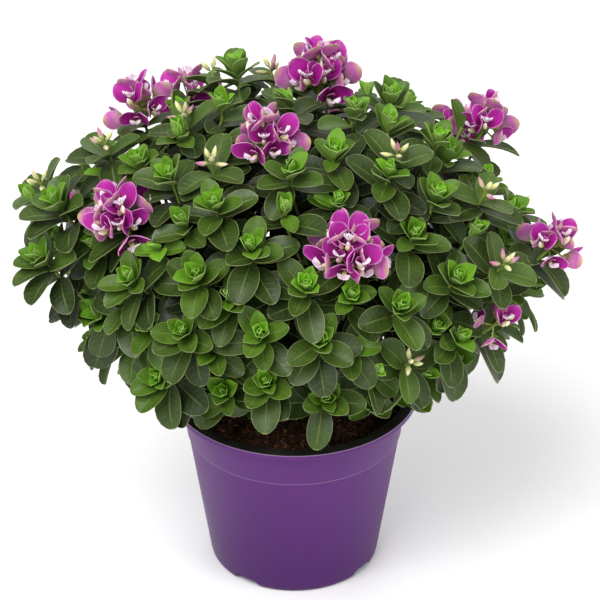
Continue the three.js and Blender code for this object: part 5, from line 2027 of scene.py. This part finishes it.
keel = model_drop("keel", 10, 9, KEEL_WIDTH, KEEL_LENGTH, KEEL_DEPTH, 0.45)
keel_cutting = Cutting(keel, KEEL_LENGTH, KEEL_WIDTH)
bud = model_drop("bud", 8, 7, BUD_WIDTH, BUD_LENGTH, BUD_WIDTH, 0.55)
bud_cutting = Cutting(bud, BUD_LENGTH, BUD_WIDTH)
for cutting in (keel_cutting, bud_cutting):
    cutting.uv[:, 0] = (cutting.uv[:, 0] + 1) % UNDERSIDE - 1
print("faces of a keel and a bud:", len(keel_cutting.faces), len(bud_cutting.faces))

# %% [markdown]
# ### Putting a flower together
#
# The parts of a flower are placed by its own directions: sideways, up and ahead. A wing's middle line runs
# to the corner that its solid has farthest out, and its width from the lower corner to the upper one, so
# the fine wing stands where the solid's wing is. A few draws open one flower a little more than the next.

# %% Assemble a flower
WING_FINISH, KEEL_FINISH, BRUSH_FINISH, SEPAL_FINISH, STALK_FINISH, DART_FINISH = range(6)
WING_CURL = -0.52
WING_CUP = 0.28
WING_DRAWS = {
    "sideways": (-0.06, 0.1),
    "up": (-0.04, 0.06),
    "ahead": (-0.05, 0.05),
    "length": (1.08, 1.2),
    "width": (0.94, 1.06),
    "ripple": (0.0, 0.12),
    "tone": (0.3, 0.7),
}
UPPER_PETAL = {"root": (0, 0, 0), "out": (0.2, 0.75, 0.72), "face": (-0.2, -0.6, 1), "curl": -0.5, "cup": 0.4}
SEPAL_ROOT = (0, 0, -1.2)
SIDE_SEPAL = {"root": SEPAL_ROOT, "out": (0.62, 0.5, 0.6), "face": (-0.6, -0.4, 1), "curl": -0.4, "cup": 0.5}
LOWER_SEPAL = {"root": SEPAL_ROOT, "out": (0, -0.62, 0.78), "face": (0, 0.78, 0.62), "curl": -0.5, "cup": 0.5}
KEEL = {"root": (0, -0.4, -0.6), "out": (0, -0.02, 1), "face": (0, 1, 0.02), "curl": -0.95, "cup": 0.0}
FAN = {"root": (0.6, 1.3, 7.6), "out": (0.55, 0.3, 0.85), "face": (-0.5, 1, -0.2), "curl": 0.5, "cup": 0.3}
PETAL_TONE, SEPAL_TONE, PALE_TONE = (0.7, 1.0), (0.2, 0.8), (0.3, 0.8)
FAN_STRETCH = (0.9, 1.1)
STALK_INSET = 0.8
STALK_BOW = -0.6
FLOWER_STALK_RADII = (0.5, 0.62)
FLOWER_CREASE = 60
SEED_OF_PETALS = 911
petal_draws = draws_from(SEED_OF_PETALS)


def petal_draw(low, high):
    return mix(low, high, next(petal_draws))


def across_flower(flower, side, up, ahead):
    return flower["sideways"] * side + flower["upright"] * up + flower["faces"] * ahead


def petal(root, out, face, length, width, curl, cup, **more):
    """A petal from a root, running out, whose upper side looks the way of face."""
    face = unit(face - out * face.dot(out))
    size = {"length": length, "width": width, "lift": curl / 2, "curl": curl, "cup": cup}
    return {"root": root, "out": out, "along": face, **size, **more}


def planned(flower, plan, hand, length, width, **more):
    """A part of a flower by its plan, which gives the right one of a pair; hand is -1 for the left one."""
    size = flower["size"]
    mirrored = [(side * hand, up, ahead) for side, up, ahead in (plan["root"], plan["out"], plan["face"])]
    root, out, face = [across_flower(flower, *way) for way in mirrored]
    place = flower["base"] + root * size
    return petal(place, unit(out), unit(face), length * size, width * size, plan["curl"], plan["cup"], **more)


def wing_of(flower, hand):
    """The wing between the corners that the solid has, opened a little by the draws."""
    opened = hand * petal_draw(*WING_DRAWS["sideways"])
    low, outer, high = [np.array((c[0] * hand, c[1], c[2])) for c in WING_CORNERS]
    outer = outer + np.array((opened, petal_draw(*WING_DRAWS["up"]), petal_draw(*WING_DRAWS["ahead"])))
    out = unit(across_flower(flower, *outer))
    width_way = across_flower(flower, *(high - low)[:2], 0)
    width_way = unit(width_way - out * width_way.dot(out))
    face = np.cross(out, width_way)
    inward = across_flower(flower, -hand, 0, 0.6)
    face = face if face.dot(inward) > 0 else -face
    length = WING_LENGTH * flower["size"] * petal_draw(*WING_DRAWS["length"])
    width = WING_WIDTH * flower["size"] * petal_draw(*WING_DRAWS["width"])
    ripple = petal_draw(*WING_DRAWS["ripple"])
    return petal(flower["base"], out, face, length, width, WING_CURL, WING_CUP, ripple=ripple)


def add_flower(head, flower, growth):
    def put(cutting, blade, tone, finish):
        head.add_blade(cutting, blade, petal_draw(*tone), finish)

    for hand in (1, -1):
        put(wing_cutting, wing_of(flower, hand), WING_DRAWS["tone"], WING_FINISH)
        upper = planned(flower, UPPER_PETAL, hand, PETAL_LENGTH, PETAL_WIDTH)
        put(petal_cutting, upper, PETAL_TONE, WING_FINISH)
        sepal = planned(flower, SIDE_SEPAL, hand, SEPAL_LENGTH, SEPAL_WIDTH)
        put(sepal_cutting, sepal, SEPAL_TONE, SEPAL_FINISH)
    sepal = planned(flower, LOWER_SEPAL, 1, SEPAL_LENGTH, SEPAL_WIDTH)
    put(sepal_cutting, sepal, SEPAL_TONE, SEPAL_FINISH)
    boat = planned(flower, KEEL, 1, KEEL_LENGTH, KEEL_WIDTH, plate=flower["size"])
    put(keel_cutting, boat, PALE_TONE, KEEL_FINISH)
    for hand in (1, -1):
        fan = planned(flower, FAN, hand, BRUSH_LENGTH * petal_draw(*FAN_STRETCH), BRUSH_WIDTH)
        put(brush_cutting, fan, PALE_TONE, BRUSH_FINISH)
    bow = (flower["faces"] - growth) * STALK_BOW
    end = flower["base"] - flower["faces"] * STALK_INSET * flower["size"]
    stalk = rod_between(flower["foot"], end, bow, *FLOWER_STALK_RADII)
    head.add(stalk, rod_faces, rod_uv, 0.5, STALK_FINISH)


# %% [markdown]
# ### What the petals look like
#
# A wing is magenta inside, darker at its foot, and pale outside with green veins that run out before its
# pink edge. The map tells the two sides apart, so one finish does for both. A row of colours along the
# petal gives the change from foot to tip, and a slow noise pushes the veins out of their straight lines.
# The vein colours are laid over that, and a tone for each petal keeps two neighbours from looking alike.

# %% Finish the wings
WING_INSIDE = [
    (0.0, paint(64, 10, 42)),
    (0.2, paint(108, 12, 84)),
    (0.5, paint(162, 22, 136)),
    (0.85, paint(178, 42, 156)),
    (1.0, paint(198, 104, 176)),
]
WING_OUTSIDE = [
    (0.0, paint(132, 136, 56)),
    (0.22, paint(176, 152, 104)),
    (0.42, paint(206, 138, 184)),
    (0.72, paint(190, 92, 172)),
    (0.9, paint(196, 140, 150)),
    (1.0, paint(184, 174, 96)),
]
WING_VEINS = 4.5  # veins on each half of a wing
WING_VEIN_HALF = (0.0, 0.16)
VEIN_WANDER = 0.9
INSIDE_VEIN_SHARE = 0.4
OUTSIDE_VEIN_SHARE = 0.8
PALE_EDGE_SHARE = 0.5

wing_finish, wire = start_material("wing_petal", Specular_IOR_Level=0.3)
across, share, underside, _ = blade_map(wire)
age = age_of(wire)
cloud = grain(wire, 120, 3.0, 0.6)
forked = across * WING_VEINS + cloud * VEIN_WANDER
vein = abs(forked.fraction() - 0.5).ramp(*WING_VEIN_HALF, 1.0, 0.0) * share.ramp(0.45, 0.95, 1.0, 0.15)
inside = (vein * INSIDE_VEIN_SHARE).blend(share.stain(WING_INSIDE), paint(112, 20, 104))
outside_vein = vein.larger(abs(across).ramp(0.72, 0.98, 0.0, 0.6)) * (1.0 - share.ramp(0.3, 0.62) * 0.7)
outside_vein = outside_vein.larger(vein * share.ramp(0.78, 0.95))
outside = (outside_vein * OUTSIDE_VEIN_SHARE).blend(share.stain(WING_OUTSIDE), paint(126, 118, 58))
petal_face = underside.blend(inside, outside)
petal_face = (abs(across).ramp(0.84, 1.0) * PALE_EDGE_SHARE).blend(petal_face, paint(234, 190, 224))
petal_face = (cloud.spread(0.86, 1.14) * age.ramp(0.0, 1.0, 0.86, 1.12)).shade(petal_face)
finish_material(wing_finish, petal_face, cloud.spread(0.42, 0.58), cloud * 0.5 - vein * 0.5, 0.45, 0.0004)
print("nodes of the wings' finish:", len(wing_finish.node_tree.nodes))

# %% [markdown]
# The keel goes from green-yellow at its foot to cream and a flush of pink, and the brush is nearly white
# with mauve lines where its threads lie apart. Sepals and stalks are the young green of the shoot, and a
# bud has the keel's colours, or those of a wing where it is about to open.

# %% Finish the keels and brushes
KEEL_STOPS = [
    (0.0, paint(196, 206, 92)),
    (0.4, paint(232, 228, 128)),
    (0.8, paint(246, 244, 214)),
    (1.0, paint(236, 214, 232)),
]
keel_finish, wire = start_material("keel_petal", Specular_IOR_Level=0.35)
_, share, _, _ = blade_map(wire)
cloud = grain(wire, 260, 2.0, 0.5)
boat = cloud.spread(0.9, 1.06).shade(share.stain(KEEL_STOPS))
finish_material(keel_finish, boat, cloud.spread(0.4, 0.55), cloud, 0.3, 0.0003)

BRUSH_STOPS = [(0.0, paint(238, 232, 196)), (0.35, paint(244, 234, 240)), (1.0, paint(250, 236, 250))]
BRUSH_VEINS = 7.0
brush_finish, wire = start_material("brush_petal", Specular_IOR_Level=0.25)
across, share, _, _ = blade_map(wire)
vein = abs((across * BRUSH_VEINS).fraction() - 0.5).ramp(0.02, 0.16, 1.0, 0.0)
vein = vein * share.ramp(0.1, 0.8, 0.3, 1.0)
fan = (vein * 0.75).blend(share.stain(BRUSH_STOPS), paint(168, 112, 172))
finish_material(brush_finish, fan, vein.ramp(0.0, 1.0, 0.55, 0.62), vein * -1.0, 0.3, 0.0003)
print("finishes:", keel_finish.name, brush_finish.name)

# %% Finish the sepals, stalks and buds
SEPAL_STOPS = [(0.0, paint(128, 146, 66)), (0.6, paint(172, 184, 108)), (1.0, paint(198, 160, 168))]
sepal_finish, wire = start_material("sepal", Specular_IOR_Level=0.35)
across, share, _, _ = blade_map(wire)
guard_face = (abs(across).ramp(0.5, 1.0) * 0.4).blend(share.stain(SEPAL_STOPS), paint(226, 224, 178))
finish_material(sepal_finish, guard_face, abs(across).ramp(0.0, 1.0, 0.45, 0.6), share, 0.1, 0.0002)

stalk_finish, wire = start_material("stalk", Specular_IOR_Level=0.3)
streaks = grain(wire, 300, 2.0, 0.5)
stalk_face = streaks.spread().blend(paint(118, 132, 58), paint(152, 160, 84))
finish_material(stalk_finish, stalk_face, streaks.spread(0.5, 0.6), streaks, 0.2, 0.0003)

BUD_STOPS = [
    (0.0, paint(156, 176, 88)),
    (0.45, paint(206, 212, 138)),
    (0.8, paint(234, 230, 178)),
    (1.0, paint(226, 190, 190)),
]
BUD_PINK = [(0.0, paint(168, 170, 96)), (0.4, paint(206, 160, 160)), (1.0, paint(176, 72, 150))]
bud_finish, wire = start_material("bud", Specular_IOR_Level=0.35)
_, share, _, _ = blade_map(wire)
age = age_of(wire)
cloud = grain(wire, 260, 2.0, 0.5)
skin = age.ramp(0.62, 0.86).blend(share.stain(BUD_STOPS), share.stain(BUD_PINK))
skin = cloud.spread(0.88, 1.08).shade(skin)
finish_material(bud_finish, skin, cloud.spread(0.42, 0.56), cloud, 0.25, 0.0003)

flower_finishes = [wing_finish, keel_finish, brush_finish, sepal_finish, stalk_finish, bud_finish]
print("finishes:", sepal_finish.name, stalk_finish.name, bud_finish.name)

# %% [markdown]
# ### Full heads
#
# A real head has more flowers than its solid, packed so closely that nothing of its middle shows. So each
# gap gets a younger, slightly smaller flower: points are spread over the head, and the one farthest from
# all flowers so far is taken, again and again. On top stand flowers that haven't opened, like narrow
# magenta darts.

# %% Fill the heads
BETWEEN_SIZE = 0.88
BETWEEN_REACH = 11
BETWEEN_LEAN = 100
GAP_SPOTS = 60
DART_LENGTH = 10
DART_WIDTH = 3.2
DARTS = 6
FULL_HEAD = 5  # heads of more flowers than this have all the darts, and others half of them
DART_LEAN = (6, 44)
DART_REACH = (22, 15)
DART_TURN = 2.0
AXIS_FOOT = 0.3
HEAD_AXIS = (7.3, 0.8)  # how far the head's axis reaches, and its radius there
DART_FOOT = 4
STALK_RADII = (0.5, 0.6)
SIDE_PULL = 0.3  # how much of a shoot's own direction is in what counts as up on it


def flowers_between(shoot):
    """Younger flowers, each in the widest gap that is left in a head, a little nearer to its middle."""
    size = shoot["size"] * BETWEEN_SIZE
    taken = [flower["faces"] for flower in shoot["flower_list"]]
    shares = [(k + 0.5) / GAP_SPOTS for k in range(GAP_SPOTS)]
    leans = [math.acos(1 - share * (1 - math.cos(math.radians(BETWEEN_LEAN)))) for share in shares]
    spots = [unit(leaning(shoot, lean, k * GOLDEN_ANGLE)) for k, lean in enumerate(leans)]
    flowers = []
    for _ in shoot["flower_list"]:
        nearness = [max(spot.dot(way) for way in taken) for spot in spots]
        best = nearness.index(min(nearness))
        faces, share = spots[best], shares[best]
        taken.append(faces)
        flowers.append(flower_at(shoot, faces, size, BETWEEN_REACH, share, share))
    return flowers


def upper_side(way, growth):
    return unit(np.cross(way, np.cross(UP + growth * SIDE_PULL, way)))


def darts_of(shoot):
    """Unopened flowers on top of a head, like narrow darts."""
    size, growth = shoot["size"], shoot["growth"]
    darts = []
    for k in range(DARTS if shoot["flowers"] > FULL_HEAD else DARTS // 2):
        share = k / (DARTS - 1)
        way = unit(leaning(shoot, math.radians(mix(*DART_LEAN, share)), k * GOLDEN_ANGLE + DART_TURN))
        root = shoot["tip"] + way * mix(*DART_REACH, share) * size
        face = upper_side(way, growth)
        dart = petal(root, way, face, DART_LENGTH * size, DART_WIDTH * size, petal_draw(-0.6, -0.1), 0.0)
        dart["tone"] = petal_draw(0.7, 1.0)
        darts.append(dart)
    return darts


def straight_rod(start, end, foot_radius, tip_radius):
    return rod_between(start, end, UP * 0, foot_radius, tip_radius)


for shoot in heads:
    head = Gathering()
    tip, growth = shoot["tip"], shoot["growth"]
    reach, radius = HEAD_AXIS
    end = tip + growth * reach * shoot["size"]
    axis = straight_rod(tip + growth * AXIS_FOOT, end, STEM_TIP_RADIUS, radius)
    head.add(axis, rod_faces, rod_uv, 0.5, STALK_FINISH)
    for flower in shoot["flower_list"] + flowers_between(shoot):
        add_flower(head, flower, growth)
    for dart in darts_of(shoot):
        head.add_blade(bud_cutting, dart, dart["tone"], DART_FINISH)
        stalk = straight_rod(tip + growth * DART_FOOT, dart["root"], *STALK_RADII)
        head.add(stalk, rod_faces, rod_uv, 0.5, STALK_FINISH)
    name = "flowers_" + shoot["name"]
    head.make(name + "_fine", flower_finishes, name, FLOWER_CREASE)
print("flower heads:", len(heads))

# %% [markdown]
# ### Buds
#
# Unopened flowers stand in a loose spray: drop-shaped, pale green at the foot, cream in the middle and
# flushed with pink towards the tip, each held by two small sepals on a thin stalk.

# %% Assemble the sprays of buds
SPRAY_BUD, SPRAY_STALK, SPRAY_GUARD = range(3)
SPRAY_AXIS = (5.3, 0.7)
BUD_CURL = (-0.5, -0.1)
BUD_STALK_RADIUS = 0.45
BUD_STALK_INSET = 0.6
GUARD = {"length": 4.2, "width": 2.4, "curl": -0.6, "cup": 0.6}
GUARD_BACK = 0.4
GUARD_SPREAD = 0.5

sprays = [shoot for shoot in shoots if shoot["kind"] == "spray"]
for shoot in sprays:
    spray = Gathering()
    tip, growth = shoot["tip"], shoot["growth"]
    reach, radius = SPRAY_AXIS
    axis = straight_rod(tip + growth * AXIS_FOOT, tip + growth * reach, STEM_TIP_RADIUS, radius)
    spray.add(axis, rod_faces, rod_uv, 0.5, SPRAY_STALK)
    for bud in shoot["bud_list"]:
        way = bud["way"]
        face = upper_side(way, growth)
        root = bud["foot"] + way * BUD_STALK
        body = petal(root, way, face, BUD_LENGTH, BUD_WIDTH, petal_draw(*BUD_CURL), 0.0)
        tone = petal_draw(0.0, 1.0)
        spray.add_blade(bud_cutting, body, tone, SPRAY_BUD)
        for hand in (1, -1):
            aside = np.cross(way, face) * hand
            guard = petal(root - way * GUARD_BACK, unit(way + aside * GUARD_SPREAD), -aside, **GUARD)
            spray.add_blade(sepal_cutting, guard, tone, SPRAY_GUARD)
        stalk = straight_rod(bud["foot"], root + way * BUD_STALK_INSET, BUD_STALK_RADIUS, STALK_RADII[1])
        spray.add(stalk, rod_faces, rod_uv, 0.5, SPRAY_STALK)
    name = "buds_" + shoot["name"]
    spray.make(name + "_fine", [bud_finish, stalk_finish, sepal_finish], name, FLOWER_CREASE)
print("sprays of buds:", len(sprays))
